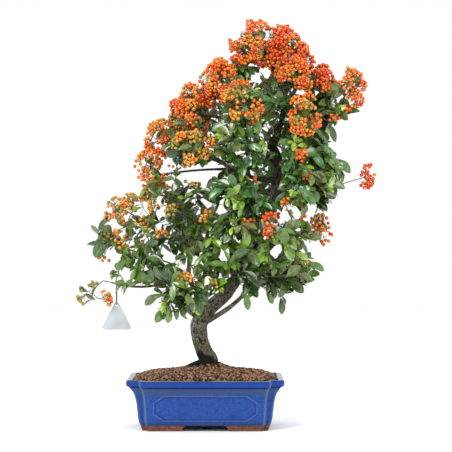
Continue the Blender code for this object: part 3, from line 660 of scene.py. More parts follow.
limb = {
    "gap": 0.3, "collar": 1.25,
    "foot": (-32, 0, 106, 22),  # the trunk goes on down into the soil
    "trunk": ((-32, 0, 116.3, 19), (-32, 0, 121, 17.2), (-41, -2, 141, 15.2), (-48, -4, 164, 14.8),
              (-49, -4, 186, 15.6), (-38, -2, 206, 14.4), (-22, 0, 222, 13), (4, 6, 247, 12),
              (27, 10, 283, 11.8), (47, 10, 322, 11.6), (65, 6, 362, 11.6), (82, 0, 398, 11.6),
              (93, -4, 431, 11.7), (96, -4, 464, 10.8), (93, -2, 489, 9.3), (86, 0, 508, 7.4)),
    # parent, share of its length, tip, bend of the middle, root and tip radius
    "boughs": {
        "left_low": ("trunk", 0.20, (-103, -12, 290), (6, -6, 22), 6.4, 3.4),
        "right_low": ("trunk", 0.17, (50, -34, 262), (4, -6, -8), 5.4, 3.2),
        "low_front": ("left_low", 0.42, (-84, -50, 262), (4, -2, 8), 3.4, 2.4),
        "left_drop": ("left_low", 0.72, (-209, -2, 262), (0, 8, -14), 3.2, 1.7),
        "left_rise": ("left_low", 0.66, (-84, -18, 372), (8, 4, 0), 3.8, 2.6),
        "outer_left": ("left_rise", 0.55, (-150, -10, 372), (10, 2, -10), 2.8, 1.9),
        "right_fruit": ("trunk", 0.52, (98, -50, 336), (0, -14, 6), 4.4, 2.8),
        "right_mid": ("trunk", 0.70, (120, -44, 418), (-2, -10, 4), 4.4, 2.8),
        "right_high": ("trunk", 0.84, (126, -26, 478), (4, -6, 2), 4.2, 2.6),
        "left_mid": ("trunk", 0.86, (-22, -42, 492), (-4, 2, -12), 5.0, 2.8),
        "left_tip": ("left_mid", 0.84, (-102, -2, 512), (2, 14, 0), 2.6, 1.8),
        "left_tip_low": ("left_mid", 0.66, (-120, -10, 458), (4, 10, 4), 2.6, 1.8),
        "crown": ("trunk", 1.0, (84, -2, 652), (20, -2, 0), 6.0, 2.8),
        "shoulder": ("trunk", 0.93, (10, -14, 602), (-2, -4, -12), 5.6, 2.8),
        "shoulder_low": ("shoulder", 0.62, (-46, -8, 566), (2, 0, 2), 3.0, 2.0),
        "heart": ("shoulder", 0.36, (40, -62, 572), (4, -2, -6), 3.2, 2.2),
        "back_left": ("shoulder", 0.5, (-14, 58, 556), (4, 6, -4), 3.2, 2.2),
        "right_shoulder": ("crown", 0.16, (148, 6, 546), (-2, 2, -8), 4.4, 2.6),
        "right_arc": ("right_shoulder", 0.72, (206, -4, 588), (2, 0, -10), 2.8, 1.8),
        "back_high": ("crown", 0.5, (78, 60, 606), (6, 2, -6), 3.2, 2.2),
    },
    "points": 6, "stops": 20, "trunkSteps": 8, "flare": (1.6, 1.48, 1.34, 1.22, 1.12, 1.04),
}


def pointOn(route, share):
    # place, direction and radius at a share of a route's length
    places = [Vector(stop[:3]) for stop in route]
    runs = [(b - a).length for a, b in zip(places, places[1:])]
    left = share * sum(runs)
    for i, run in enumerate(runs):
        if left <= run or i == len(runs) - 1:
            t = min(1.0, left / run)
            radius = route[i][3] + (route[i + 1][3] - route[i][3]) * t
            return places[i].lerp(places[i + 1], t), (places[i + 1] - places[i]).normalized(), radius
        left -= run


def boughRoute(start, along, straightOn, tip, bend, rootRadius, tipRadius, points):
    route = []
    if straightOn:
        route.append((*(start + along * limb["gap"]), rootRadius * limb["collar"]))
        start = start + along * rootRadius
    end = Vector(tip)
    middle = start.lerp(end, 0.5) + Vector(bend) * 2
    for i in range(points):
        t = i / (points - 1)
        place = curvePoint(start, middle, end, t)
        collar = 1.0 if route else limb["collar"]
        route.append((*place, (rootRadius + (tipRadius - rootRadius) * t) * collar))
    return route


def limbRoutes():
    # the stops that the solids have, and a finer route through the same places
    coarse = {"trunk": limb["trunk"]}
    fine = {"trunk": smoothRoute((limb["foot"],) + limb["trunk"], limb["trunkSteps"])}
    for name, (parent, share, tip, bend, rootRadius, tipRadius) in limb["boughs"].items():
        start, along, radius = pointOn(coarse[parent], share)
        shape = (start, along, share == 1.0, tip, bend, rootRadius, tipRadius)
        coarse[name] = boughRoute(*shape, limb["points"])
        fine[name] = boughRoute(*shape, limb["stops"])
    return coarse, fine


def smoothRoute(stops, steps):
    # a curve through the stops, radius and all
    rows = [np.array(stop, float) for stop in stops]
    rows = [2 * rows[0] - rows[1]] + rows + [2 * rows[-1] - rows[-2]]
    route = []
    for a, b, c, d in zip(rows, rows[1:], rows[2:], rows[3:]):
        for i in range(steps):
            t = i / steps
            route.append(tuple(0.5 * (2 * b + (c - a) * t + (2 * a - 5 * b + 4 * c - d) * t ** 2
                                      + (3 * b - 3 * c + d - a) * t ** 3)))
    route.append(tuple(rows[-2]))
    return route


routes, fineRoutes = limbRoutes()

bark = {
    "voxel": 1.08, "smoothing": (0.5, 4), "sampleStep": 1.5,
    "trunkSides": 24, "boughSides": 14, "rootSides": 12, "rootSteps": 6,
    "relief": 1.15, "reliefShares": (0.18, 0.82), "oldFrom": 2, "oldOver": 10,
    "swell": 1.3, "swellScale": 0.055, "ridgeWidth": 3.4, "ridgeLength": 15, "ridgeSharp": 2.4,
    "fineRidge": 2.3, "fineOffset": (7, 3, 1), "flakes": ((0.42, 0.5), (0.9, 0.3)),
    # three places that a root runs through, and its radius at the first and the last
    "roots": (((-34, -6, 121), (-52, -16, 115), (-64, -22, 111), 6.5, 2.2),
              ((-28, -8, 121), (-20, -22, 115), (-12, -30, 110), 6.0, 2.0),
              ((-36, 4, 121), (-58, 6, 114), (-70, 6, 110), 6.0, 2.0),
              ((-28, 6, 121), (-16, 20, 114), (-6, 26, 110), 6.0, 2.0)),
    "grey": (0.155, 0.15, 0.115), "brown": (0.085, 0.062, 0.038), "dark": (0.014, 0.010, 0.006),
    "pale": (0.31, 0.31, 0.27), "lichen": (0.11, 0.125, 0.045), "pits": (0.030, 0.019, 0.010),
    # the last direction is the side where old wood gets a painted highlight, toward the key light
    "wet": (0.004, 0.004, 0.003), "litSide": (-1, -0.35, 0.1),
}


def wave(point, scale):
    return noise.noise(point * scale)


def limbSolid():
    # one tube for each limb, fused by a fine remesh so that every fork has its collar
    batch = newBatch()
    for name, route in fineRoutes.items():
        places = [stop[:3] for stop in route]
        radii = [stop[3] for stop in route]
        addShape(batch, *tubeShape(places, radii, bark["trunkSides" if name == "trunk" else "boughSides"]))
        if name != "trunk":
            flare = [radius * size for radius, size in zip(radii, limb["flare"])]
            addShape(batch, *tubeShape(places[:len(flare)], flare, bark["boughSides"]))
    for *stops, rootRadius, tipRadius in bark["roots"]:
        radii = (rootRadius, (rootRadius + tipRadius) / 2, tipRadius)
        route = smoothRoute([(*stop, radius) for stop, radius in zip(stops, radii)], bark["rootSteps"])
        places, radii = [stop[:3] for stop in route], [stop[3] for stop in route]
        addShape(batch, *tubeShape(places, radii, bark["rootSides"]))
    solid = batchPiece(batch, "trunkAndBoughs", [])
    remesh = solid.modifiers.new("fuse", "REMESH")
    remesh.mode = "VOXEL"
    remesh.voxel_size = bark["voxel"] * mm
    smooth = solid.modifiers.new("smooth", "SMOOTH")
    smooth.factor, smooth.iterations = bark["smoothing"]
    applyModifiers(solid)
    return solid


def limbSamples():
    # centre, direction, length so far and radius, closely along every limb
    samples = []
    for route in fineRoutes.values():
        length = 0.0
        for a, b in zip(route, route[1:]):
            start, end = Vector(a[:3]), Vector(b[:3])
            run = (end - start).length
            steps = max(1, int(run / bark["sampleStep"]))
            for i in range(steps):
                t = i / steps
                samples.append((start.lerp(end, t), (end - start).normalized(), length + run * t,
                                a[3] + (b[3] - a[3]) * t))
            length += run
    return samples


def treeOf(places):
    tree = KDTree(len(places))
    for i, place in enumerate(places):
        tree.insert(place, i)
    tree.balance()
    return tree


def raiseBark(solid):
    # ridges run along each limb, and the relief is deeper where the wood is older
    samples = limbSamples()
    tree = treeOf([sample[0] for sample in samples])
    mesh = solid.data
    crevice, sideHighlight = np.zeros(len(mesh.vertices)), np.zeros(len(mesh.vertices))
    moved = np.zeros((len(mesh.vertices), 3))
    litSide = Vector(bark["litSide"]).normalized()
    youngShare, oldShare = bark["reliefShares"]
    for vert in mesh.vertices:
        point = vert.co / mm
        centre, along, length, radius = samples[tree.find(point)[1]]
        side = point - centre
        side = (side - along * side.dot(along)).normalized()
        spot = side * radius / bark["ridgeWidth"] + along * (length / bark["ridgeLength"])
        ridge = 1 - abs(noise.noise(spot)) * bark["ridgeSharp"]
        fineSpot = spot * bark["fineRidge"] + Vector(bark["fineOffset"])
        ridge = 0.6 * ridge + 0.4 * (1 - abs(noise.noise(fineSpot)) * bark["ridgeSharp"])
        flakes = sum(wave(point, scale) * height for scale, height in bark["flakes"])
        old = min(1.0, max(0.0, (radius - bark["oldFrom"]) / bark["oldOver"]))
        swell = wave(point, bark["swellScale"]) * bark["swell"] * old
        rise = (0.5 * (ridge - 0.7) + 0.45 * flakes) * bark["relief"] * (youngShare + oldShare * old) + swell
        moved[vert.index] = (point + vert.normal * rise)[:]
        crevice[vert.index] = min(1.0, max(0.0, 0.5 - 0.55 * (ridge - 0.45) - 0.5 * flakes))
        # painted highlight: old wood is paler on its side toward the key light
        sideHighlight[vert.index] = old * max(0.0, side.dot(litSide) + 0.5 * wave(point, 0.06))
    mesh.vertices.foreach_set("co", (moved * mm).ravel())
    storeValues(mesh, "crevice", crevice)
    storeValues(mesh, "sideHighlight", sideHighlight)
    mesh.update()


def barkMaterial():
    # grey and brown patches, a painted highlight on the side toward the key light, lichen low down, darker in
    # the crown, wet at its foot
    mat = newMaterial("bark", bark["grey"], 0.88, specular=0.3)
    points = objectPoints(mat)
    x, z = [addNode(mat, "SeparateXYZ", {"Vector": points}, axis) for axis in "XZ"]
    patches, fine = addNoise(mat, points, 75, 4), addNoise(mat, points, 420, 4)
    # painted highlight on the lit side, broken up by fine noise
    highlightStreaks = addMath(mat, "ADD", storedValue(mat, "sideHighlight"), addMath(mat, "MULTIPLY", fine, 0.8))
    low = addRamp(mat, z, 215 * mm, 125 * mm)
    spots = addRamp(mat, addNoise(mat, points, 130, 3), 0.44, 0.6)
    pits = addRamp(mat, addNoise(mat, points, 300, 2, 0.4), 0.53, 0.60)
    pitted = addMath(mat, "MULTIPLY", pits, 0.85)
    rim = addMath(mat, "ADD", z, addMath(mat, "MULTIPLY", patches, 34 * mm))
    rim = addMath(mat, "ADD", rim, addMath(mat, "MULTIPLY", x, 0.45))
    color = mixColors(mat, addRamp(mat, patches, 0.40, 0.62), bark["brown"], bark["grey"])
    for share, tint in (
            (addRamp(mat, fine, 0.54, 0.68), "pale"),
            (addRamp(mat, highlightStreaks, 1.0, 1.35), "pale"),
            (addMath(mat, "MULTIPLY", spots, low), "lichen"),
            (addRamp(mat, storedValue(mat, "crevice"), 0.42, 0.85), "dark"),
            (pitted, "pits"),
            (addMath(mat, "MULTIPLY", addRamp(mat, z, 380 * mm, 500 * mm), 0.72), "dark"),
            (addRamp(mat, rim, 135 * mm, 129 * mm), "wet")):
        color = mixColors(mat, share, color, bark[tint])
    feed(mat, "Base Color", color)
    relief = addMath(mat, "SUBTRACT", fine, addMath(mat, "MULTIPLY", pitted, 0.6))
    addBump(mat, relief, 0.6, 0.9)
    return mat


trunkAndBoughs = limbSolid()
raiseBark(trunkAndBoughs)
trunkAndBoughs.data.materials.append(barkMaterial())
activate(trunkAndBoughs)
bpy.ops.object.shade_smooth()
finishPiece(trunkAndBoughs, ["trunk"] + ["bough_" + name for name in limb["boughs"]])

# masses of leaves and berries: twigs that branch by one seeded rule from one stem on a limb

plant = {
    "seed": 7, "gap": 0.3, "clearance": 1.2,
    "stemRadius": 2.3, "stemShare": 0.9, "shortestStem": 9, "elbow": 6, "hubDepth": 0.35, "shortestHub": 0.4,
    "twigRadius": 1.6, "overlap": 2.6, "spares": 3, "routes": 4, "lengthCost": 0.3,
    "leafDepth": (0.3, 0.62), "berryDepth": 0.86, "berrySpread": 0.25, "looseness": 1.1,
    "solidBerry": 8.5, "goldenShare": 0.618,
    # limb, share of its length, centre, radii, main twigs, fruiting, share of shoots that bear, ripeness
    "masses": {
        "crown_tip": ("crown", 1.0, (54, 0, 696), (46, 42, 46), 7, True, 1.0, 0.85),
        "crown_right": ("crown", 0.93, (118, -8, 684), (36, 40, 36), 5, True, 1.0, 0.95),
        "shoulder_high": ("shoulder", 1.0, (-1, -20, 626), (45, 42, 42), 6, True, 0.97, 0.7),
        "shoulder_low": ("shoulder_low", 1.0, (-66, -8, 569), (33, 38, 46), 6, True, 0.97, 0.7),
        "heart_fruit": ("heart", 1.0, (36, -88, 590), (44, 40, 32), 5, True, 0.9, 0.62),
        "right_fruit": ("crown", 0.62, (126, -44, 632), (38, 40, 27), 5, True, 0.98, 0.75),
        "right_hanging": ("right_shoulder", 0.45, (138, -92, 560), (30, 38, 43), 4, False, 0.92, 0.6),
        "arc_inner": ("crown", 0.72, (171, 2, 637), (24, 26, 27), 4, True, 0.95, 0.95),
        "arc_outer": ("right_arc", 1.0, (228, -5, 618), (30, 30, 44), 6, True, 1.0, 0.8),
        "right_shoulder": ("right_shoulder", 1.0, (174, 16, 568), (38, 46, 40), 4, False, 0.1, 0.8),
        "left_tip": ("left_tip", 1.0, (-119, 4, 531), (24, 30, 30), 5, True, 1.0, 0.7),
        "left_tip_low": ("left_tip_low", 1.0, (-137, -10, 472), (25, 28, 39), 5, True, 1.0, 0.6),
        "left_mid": ("left_mid", 1.0, (-60, -56, 508), (44, 44, 41), 5, False, 0.58, 0.55),
        "heart_leaf": ("left_mid", 0.45, (34, -82, 516), (47, 42, 39), 5, False, 0.15, 0.7),
        "right_mid_high": ("right_high", 1.0, (158, -34, 486), (56, 48, 37), 5, False, 0.05, 0.7),
        "right_mid_low": ("right_mid", 1.0, (146, -62, 430), (48, 46, 38), 5, False, 0.03, 0.85),
        "right_tip": ("right_mid", 0.86, (256, 6, 455), (15, 18, 31), 4, True, 1.0, 0.95),
        "centre_left": ("trunk", 0.72, (24, -48, 412), (46, 46, 50), 5, False, 0.03, 0.75),
        "low_left_crown": ("left_rise", 1.0, (-90, -20, 418), (60, 46, 42), 5, False, 0.42, 0.35),
        "outer_left_fruit": ("outer_left", 1.0, (-183, -8, 386), (42, 32, 31), 4, True, 0.95, 0.4),
        "left_leaf": ("left_low", 0.93, (-214, 8, 334), (37, 34, 34), 4, False, 0.3, 0.4),
        "left_low": ("left_low", 1.0, (-130, -22, 318), (50, 46, 48), 5, False, 0.18, 0.3),
        "left_drop": ("left_drop", 1.0, (-238, 0, 242), (48, 24, 28), 5, True, 0.85, 0.3),
        "mid_low_front": ("low_front", 1.0, (-84, -82, 249), (62, 46, 46), 5, False, 0.04, 0.12),
        "mid_low": ("trunk", 0.30, (-16, -16, 338), (50, 46, 46), 5, False, 0.02, 0.2),
        "mid_low_right": ("trunk", 0.36, (18, -54, 282), (40, 36, 39), 5, False, 0.0, 0.5),
        "right_low_fruit": ("right_fruit", 0.8, (172, -22, 360), (22, 24, 27), 4, True, 0.85, 0.85),
        "right_low": ("right_fruit", 1.0, (103, -68, 347), (60, 46, 37), 5, False, 0.05, 0.85),
        "right_under": ("right_low", 1.0, (106, -24, 274), (61, 50, 42), 5, False, 0.02, 0.4),
        "back_high": ("back_high", 1.0, (74, 84, 616), (54, 48, 42), 5, False, 0.85, 0.8),
        "back_left": ("back_left", 1.0, (-44, 78, 566), (50, 48, 44), 5, False, 0.7, 0.7),
        "back_right": ("trunk", 0.93, (160, 84, 522), (50, 48, 46), 5, False, 0.1, 0.6),
        "back_mid": ("trunk", 0.78, (68, 88, 430), (60, 50, 50), 5, False, 0.05, 0.5),
        "back_low_left": ("trunk", 0.42, (-66, 82, 366), (60, 50, 46), 5, False, 0.05, 0.3),
        "back_low_right": ("trunk", 0.48, (104, 82, 306), (60, 50, 46), 5, False, 0.05, 0.5),
    },
    "youngShare": {"mid_low_front": 0.2, "low_left_crown": 0.25, "centre_left": 0.16, "mid_low": 0.14,
                   "right_low": 0.12, "right_under": 0.12},
    "youngElsewhere": 0.05,
    # thinner than the rest: shoots stand further apart and bear less
    "sparse": {"left_drop": 0.6, "heart_fruit": 0.85, "outer_left_fruit": 0.8, "left_tip": 0.9,
               "left_tip_low": 0.8, "right_low_fruit": 0.75, "left_leaf": 0.6, "left_low": 0.7,
               "low_left_crown": 0.8,
               "right_under": 0.75, "mid_low_front": 0.85, "mid_low": 0.75, "mid_low_right": 0.7,
               "right_low": 0.75, "back_mid": 0.6, "back_low_left": 0.6, "back_low_right": 0.6,
               "back_right": 0.7},
    # where sky shows right through the crown: x, z, half width, half height
    "windows": ((14, 738, 24, 36), (-229, 289, 27, 12), (-189, 278, 14, 11), (-151, 236, 32, 20),
                (182, 224, 56, 48), (214, 520, 28, 40), (-60, 458, 27, 14), (153, 395, 13, 14),
                (-8, 398, 11, 16), (-14, 466, 12, 7), (-110, 467, 15, 7), (-205, 370, 13, 8),
                (-31, 403, 9, 11), (165, 611, 10, 8), (127, 387, 10, 10), (91, 321, 10, 6),
                (-9, 310, 10, 10), (46, 659, 9, 5), (-190, 351, 6, 8), (-100, 309, 7, 8),
                (-56, 304, 7, 9), (31, 495, 13, 9), (150, 477, 10, 8), (-146, 404, 7, 6),
                (-121, 384, 7, 6), (-76, 290, 6, 7), (204, 650, 12, 22), (209, 598, 8, 9),
                (-33, 216, 11, 10), (-9, 236, 17, 11), (14, 251, 14, 9), (-205, 316, 15, 11),
                (161, 330, 12, 12), (114, 239, 10, 7), (88, 316, 10, 12), (-197, 235, 10, 21),
                (172, 478, 9, 7), (76, 437, 5, 8), (44, 457, 8, 7)),
    "gapScale": 0.065, "gapFrom": 0.36,  # small gaps through the lower crown, by a noise
    # clusters that show in front of the leaves: x, z, half width, half height
    "fruitSpots": ((87, 425, 15, 12), (110, 400, 15, 13), (92, 376, 24, 11), (76, 349, 15, 11),
                   (37, 545, 17, 11), (-46, 388, 16, 13), (-106, 382, 18, 14), (-62, 266, 12, 9),
                   (-31, 268, 11, 9), (-84, 255, 10, 8), (128, 291, 9, 8), (34, 690, 22, 24)),
    "leafySpots": ((52, 640, 36, 15), (44, 604, 9, 8), (70, 586, 8, 11), (10, 578, 8, 8),
                   (88, 612, 9, 12)),  # leaves alone among the fruit
    # where no leaf stands in front of the bark: x, z, half width, half height
    "barkSpots": ((72, 532, 15, 22), (94, 455, 11, 32)),
    "frontFrom": -15,
    # limb, from and to a share of its length, leafy shoots along it
    "spurs": {"crown": (0.06, 0.72, 20), "trunk": (0.84, 0.99, 9), "shoulder": (0.15, 0.85, 8),
              "right_shoulder": (0.15, 0.6, 6), "left_mid": (0.25, 0.8, 6), "heart": (0.3, 0.9, 4),
              "left_rise": (0.5, 0.9, 3), "left_drop": (0.3, 0.85, 5), "right_mid": (0.4, 0.8, 3)},
    "spurLength": (12, 36),
    # long-stalked leaves that hang clear of the rest: base, heading to the right and up, length, shape, tint
    "hanging": (((-220, -10, 343), (-0.45, -0.9), 40, 0, "Dark"),
                ((-186, -10, 307), (-0.45, -0.9), 25, 0, "Mid"),
                ((-102, -70, 222), (-0.7, -0.7), 37, 1, "Mid"),
                ((-99, -72, 221), (-0.2, -1), 29, 1, "Bright"),
                ((-73, -70, 223), (0.75, -0.6), 31, 2, "Dark"),
                ((-118, -60, 244), (-0.85, -0.5), 33, 3, "Olive"),
                ((99, -24, 236), (0.15, -1), 31, 2, "Dark"), ((74, -24, 248), (0.4, -0.9), 26, 1, "Mid"),
                ((33, -40, 246), (0.3, -0.95), 33, 2, "Mid"), ((113, -40, 266), (0.8, -0.6), 34, 0, "Dark"),
                ((147, -30, 300), (0.9, -0.35), 34, 2, "Mid"), ((184, 10, 556), (0.5, -0.86), 40, 4, "Dark"),
                ((196, -20, 487), (0.8, -0.55), 38, 3, "Cool"),
                ((162, -72, 512), (0.85, -0.5), 42, 4, "Cool"),
                ((172, -70, 494), (0.8, -0.6), 40, 3, "Mid"), ((146, -80, 499), (0.75, -0.65), 42, 4, "Cool"),
                ((131, -82, 476), (0.6, -0.8), 43, 1, "Cool"), ((153, -80, 463), (0.8, -0.5), 40, 4, "Dark"),
                ((176, -60, 445), (0.95, -0.2), 38, 3, "Olive"),
                ((128, -98, 434), (0.7, -0.7), 42, 1, "Cool")),
    "hangingLift": 0.12, "hangingForward": -0.15, "hangingFace": (0.15, -1, 0.45),
    # radii of the thin shoots that carry them, and of the short leafy ones
    "hangingWood": (1.0, 0.9, 0.8, 0.65, 0.5), "spurWood": (1.3, 1.0, 0.75, 0.5),
    "fruitSpacing": 23, "leafSpacing": 24, "nodeStep": 6, "ragged": 0.3, "raggedScale": 0.035,
    # shoots for the room there is, tries for each, lean to the outside, room between them, first and last
    "fill": 1.7, "tries": 16, "outerLean": 0.6, "apart": (0.84, 0.24),
    # what a turn costs a new shoot, and how it strays, follows the old wood, aims and sags
    "turnCost": 0.28, "stray": 0.07, "follow": 0.28, "aim": 0.3, "sag": 0.06,
    "rootDepth": 3.5, "collar": 1.15,
    "merge": 0.9, "furthest": 1.85,  # between masses the shoots reach further than at the outside
    "fruitShell": (0.2, 0.97, 12), "leafShell": (0.2, 0.78, 0), "fruitFrom": (0.0, 0.3),
    "tipRadius": 0.55, "pipe": 2.4, "thornShare": 0.16, "thornLength": (6, 12),
    "berryRadius": (3.0, 3.9), "berries": (10, 20), "stalk": (3, 9), "dome": 0.9, "clusterRipeness": 0.14,
    "leafLength": (16, 33), "lowLeafLength": (15, 36), "lowCrown": 400, "youngLength": (10, 19),
    # curl, sideways sweep and width of the leaves, as shares of their length
    "leafForms": ((0.10, 0.0, 0.52), (0.22, 0.05, 0.44), (0.16, -0.06, 0.40), (0.34, 0.02, 0.46),
                  (0.26, -0.04, 0.33)),
    "leafStretch": {"right_shoulder": 1.25, "right_mid_high": 1.2, "left_leaf": 1.2},
    "leafTries": 5, "leafReach": 1.15,
    # leaves turn away from an upright line at this share of the mass's x and at this y, and droop a little
    "leafAxis": (0.6, 20), "leafDroop": (0, 0, -0.18), "leafOutward": 0.2, "leafVary": (0.85, 1.12),
    "leafMiddle": 0.55, "middleClear": 5, "endClear": 3,
    # how much a leaf's face looks up, outwards and along its shoot, and how much that differs
    "leafFace": (0.65, 0.8, 0.45), "faceSpread": (0.35, 0.35, 0.2),
    # a cluster's axis follows its shoot, the outside and the sky, and its dome falls off to the edge
    "clusterAxis": (0.5, 0.8, 0.35), "domeLift": (0.62, 0.75), "berryStray": 2, "berryPress": 0.97,
    "stalkWood": (0.5, 0.38, 0.32), "stalkBend": (0.55, 0.05), "stalkEnd": 0.8,
    "thickTwig": 1.1, "thornLean": 0.4,
    "spurTurn": 0.4, "spurLean": 0.5, "spurRoot": 0.7, "spurRise": (0.12, 0.12, 0.1, 0.2),  # spreads, lift
    "rosette": (3, 5), "rosetteStep": 1.1, "rosetteLean": (35, 60), "rosetteOpening": 6,
    "sideLeaves": (2, 5), "sideFrom": 8, "sideStep": 6, "sideLean": (50, 80),
    "fruitLeaves": (0, 2), "fruitLeafFrom": 5, "fruitLeafStep": 7, "fruitLeafLean": (50, 85),
    "fruitLeafLength": (18, 30), "berryReach": 1.05, "shadeReach": 0.62,
    "hiddenReach": 0.82, "leafRoom": 4,  # leaves among fruit stay behind it
    # a shoot's leaves take one tint, bluer ones high up, and the darkest inside as painted shade
    "tintPicks": ((0.36, "Dark"), (0.76, "Mid"), (0.89, "Olive"), (1, "Bright")),
    "coolPicks": (0.3, 0.68), "shadePick": 0.9,
    # how ripe each colour is, what the outside adds, and how much single berries differ
    "ripePicks": ((0.38, "Green"), (0.66, "Amber"), (1.02, "Orange"), (99, "Red")),
    "ripeOutside": 0.22, "ripeSpread": 0.16,
    "leafTints": {"Dark": (0.031, 0.082, 0.008), "Mid": (0.085, 0.175, 0.017), "Bright": (0.19, 0.34, 0.025),
                  "Young": (0.30, 0.48, 0.03), "Olive": (0.097, 0.130, 0.022),
                  "Cool": (0.055, 0.163, 0.033), "Shade": (0.016, 0.036, 0.006)},
    "underside": (0.24, 0.31, 0.11), "rib": (0.16, 0.26, 0.07),
    "berryTints": {"Red": (0.70, 0.078, 0.004), "Orange": (0.80, 0.18, 0.005), "Amber": (0.74, 0.33, 0.03),
                   "Green": (0.32, 0.29, 0.04)},
}


def capsulesOf(route):
    return [(Vector(a[:3]), Vector(b[:3]), max(a[3], b[3])) for a, b in zip(route, route[1:])]


def segmentDistance(a, b, c, d):
    # shortest distance between segments ab and cd
    u, v, w = b - a, d - c, a - c
    uu, uv, vv, uw, vw = u.dot(u), u.dot(v), v.dot(v), u.dot(w), v.dot(w)
    span = uu * vv - uv * uv
    s = 0.0 if span < 1e-9 else min(1.0, max(0.0, (uv * vw - vv * uw) / span))
    t = 0.0 if vv < 1e-9 else min(1.0, max(0.0, (uv * s + vw) / vv))
    s = 0.0 if uu < 1e-9 else min(1.0, max(0.0, (uv * t - uw) / uu))
    return (w + u * s - v * t).length


def clearOf(start, end, thick, obstacles):
    return all(segmentDistance(start, end, a, b) > r + thick for a, b, r in obstacles)


def reachOf(point, name):
    centre, radii = plant["masses"][name][2:4]
    return math.sqrt(sum(((p - c) / r) ** 2 for p, c, r in zip(point, centre, radii)))


massCentres = np.array([mass[2] for mass in plant["masses"].values()])
massRadii = np.array([mass[3] for mass in plant["masses"].values()])
massNumber = {name: i for i, name in enumerate(plant["masses"])}


def inSpot(point, spots):
    return any(((point[0] - x) / halfX) ** 2 + ((point[2] - z) / halfZ) ** 2 < 1
               for x, z, halfX, halfZ in spots)


def inCrown(point, name, reach, own=True):
    # inside the crown that the masses make together, and not in a place where sky shows
    if inSpot(point, plant["windows"]):
        return False
    if name is None:
        return True
    if point[2] < plant["lowCrown"]:
        if noise.noise(Vector((point[0], 0, point[2])) * plant["gapScale"]) > plant["gapFrom"]:
            return False
    reaches = (((np.array(point) - massCentres) / massRadii) ** 2).sum(axis=1)
    if own and reaches.argmin() != massNumber[name]:
        return False
    ragged = 1 + plant["ragged"] * noise.noise(Vector(point) * plant["raggedScale"])
    return np.exp(-plant["merge"] * (reaches - (reach * ragged) ** 2)).sum() >= 1


def owned(point, name, reach=1.0):
    # within the mass's reach and nearer to it than to any other
    here = reachOf(point, name)
    if here > reach:
        return False
    for other, mass in plant["masses"].items():
        if other != name and reachOf(point, other) < here + 2 * plant["clearance"] / min(mass[3]):
            return False
    return True


def stemOf(name):
    # from a limb's tip it carries straight on, from its side it stands out and then bends inwards
    limbName, share, centre, radii = plant["masses"][name][:4]
    place, along, radius = pointOn(routes[limbName], share)
    centre = Vector(centre)
    if share == 1.0:
        root = place + along * plant["gap"]
        length = (centre - root).dot(along) - plant["hubDepth"] * min(radii)
        thick = min(plant["stemRadius"], radius * plant["stemShare"])
        return [(root, root + along * max(length, plant["shortestStem"]), thick)]
    aside = centre - place
    aside = (aside - along * aside.dot(along)).normalized()
    root = place + aside * (radius + plant["gap"])
    elbow = root + aside * plant["elbow"]
    run = centre - elbow
    length = max(run.length - plant["hubDepth"] * min(radii), plant["shortestHub"] * run.length)
    hub = elbow + run.normalized() * length
    return [(root, elbow, plant["stemRadius"]), (elbow - aside * plant["overlap"], hub, plant["stemRadius"])]


def evenDirections(count, turn):
    for i in range(count):
        z = 1 - 2 * (i + 0.5) / count
        ring = math.sqrt(1 - z * z)
        angle = goldenAngle * i + turn
        yield Vector((ring * math.cos(angle), ring * math.sin(angle), z))


def mainTwigs(name, stem, obstacles, rng):
    # each new twig springs from the best placed end before it
    centre, radii, count, fruiting = plant["masses"][name][2:6]
    bud, hub, thick = stem[-1]
    low, high = plant["leafDepth"]
    if fruiting:
        high = min(plant["berryDepth"], plant["looseness"] - 1.2 * plant["solidBerry"] / min(radii))
        low = high - plant["berrySpread"]
    targets = []
    for i, direction in enumerate(evenDirections(count + plant["spares"], rng.random() * math.tau)):
        depth = low + (high - low) * ((i * plant["goldenShare"]) % 1.0)
        target = Vector(c + d * r * depth for c, d, r in zip(centre, direction, radii))
        if owned(target, name):
            targets.append(target)
    targets.sort(key=lambda target: (target - hub).length)
    ends = [(hub - (hub - bud).normalized() * plant["overlap"], 0.0)]
    twigs = []
    for target in targets[-count:]:
        ranked = sorted(ends, key=lambda end: (end[0] - target).length + plant["lengthCost"] * end[1])
        for start, length in ranked[:plant["routes"]]:
            openEnd = start + (target - start).normalized() * plant["shortestStem"]
            close = clearOf(start, target, plant["twigRadius"] + 3 * plant["gap"], obstacles)
            clear = clearOf(openEnd, target, plant["twigRadius"] + plant["clearance"], obstacles)
            if owned(start.lerp(target, 0.5), name, plant["looseness"]) and close and clear:
                twigs.append((start, target))
                run = target - start
                ends.append((target - run.normalized() * plant["overlap"], length + run.length))
                break
    return twigs


def newWood():
    return {"places": [], "headings": [], "parents": [], "runs": [], "chains": []}


def addChain(wood, start, points):
    # a shoot of nodes that leaves the wood at one of its nodes
    chain = [] if start is None else [start]
    for point in points:
        if chain:
            step = point - wood["places"][chain[-1]]
            heading, run = step.normalized(), wood["runs"][chain[-1]] + step.length
        else:
            heading, run = (points[1] - points[0]).normalized(), 0.0
        wood["places"].append(point)
        wood["headings"].append(heading)
        wood["parents"].append(chain[-1] if chain else None)
        wood["runs"].append(run)
        chain.append(len(wood["places"]) - 1)
    wood["chains"].append(chain)
    return chain


def nearestNode(wood, target):
    # close by, not far along from the limb, and already heading that way
    def cost(i):
        away = target - wood["places"][i]
        turn = 1 - away.normalized().dot(wood["headings"][i])
        return away.length * (1 + plant["turnCost"] * turn) + plant["lengthCost"] * wood["runs"][i] * 0.5
    return min(range(len(wood["places"])), key=cost)


def shootPath(start, heading, target, rng):
    # leaves along the old wood, then turns to its place and lifts a little at the end
    away = target - start
    stray = randomVector(rng, 1, 1, 1) * away.length * plant["stray"]
    middle = start + heading * away.length * plant["follow"] + away * plant["aim"] + stray
    middle.z -= away.length * plant["sag"]
    steps = max(2, round(away.length / plant["nodeStep"]))
    return [curvePoint(start, middle, target, i / steps) for i in range(1, steps + 1)]


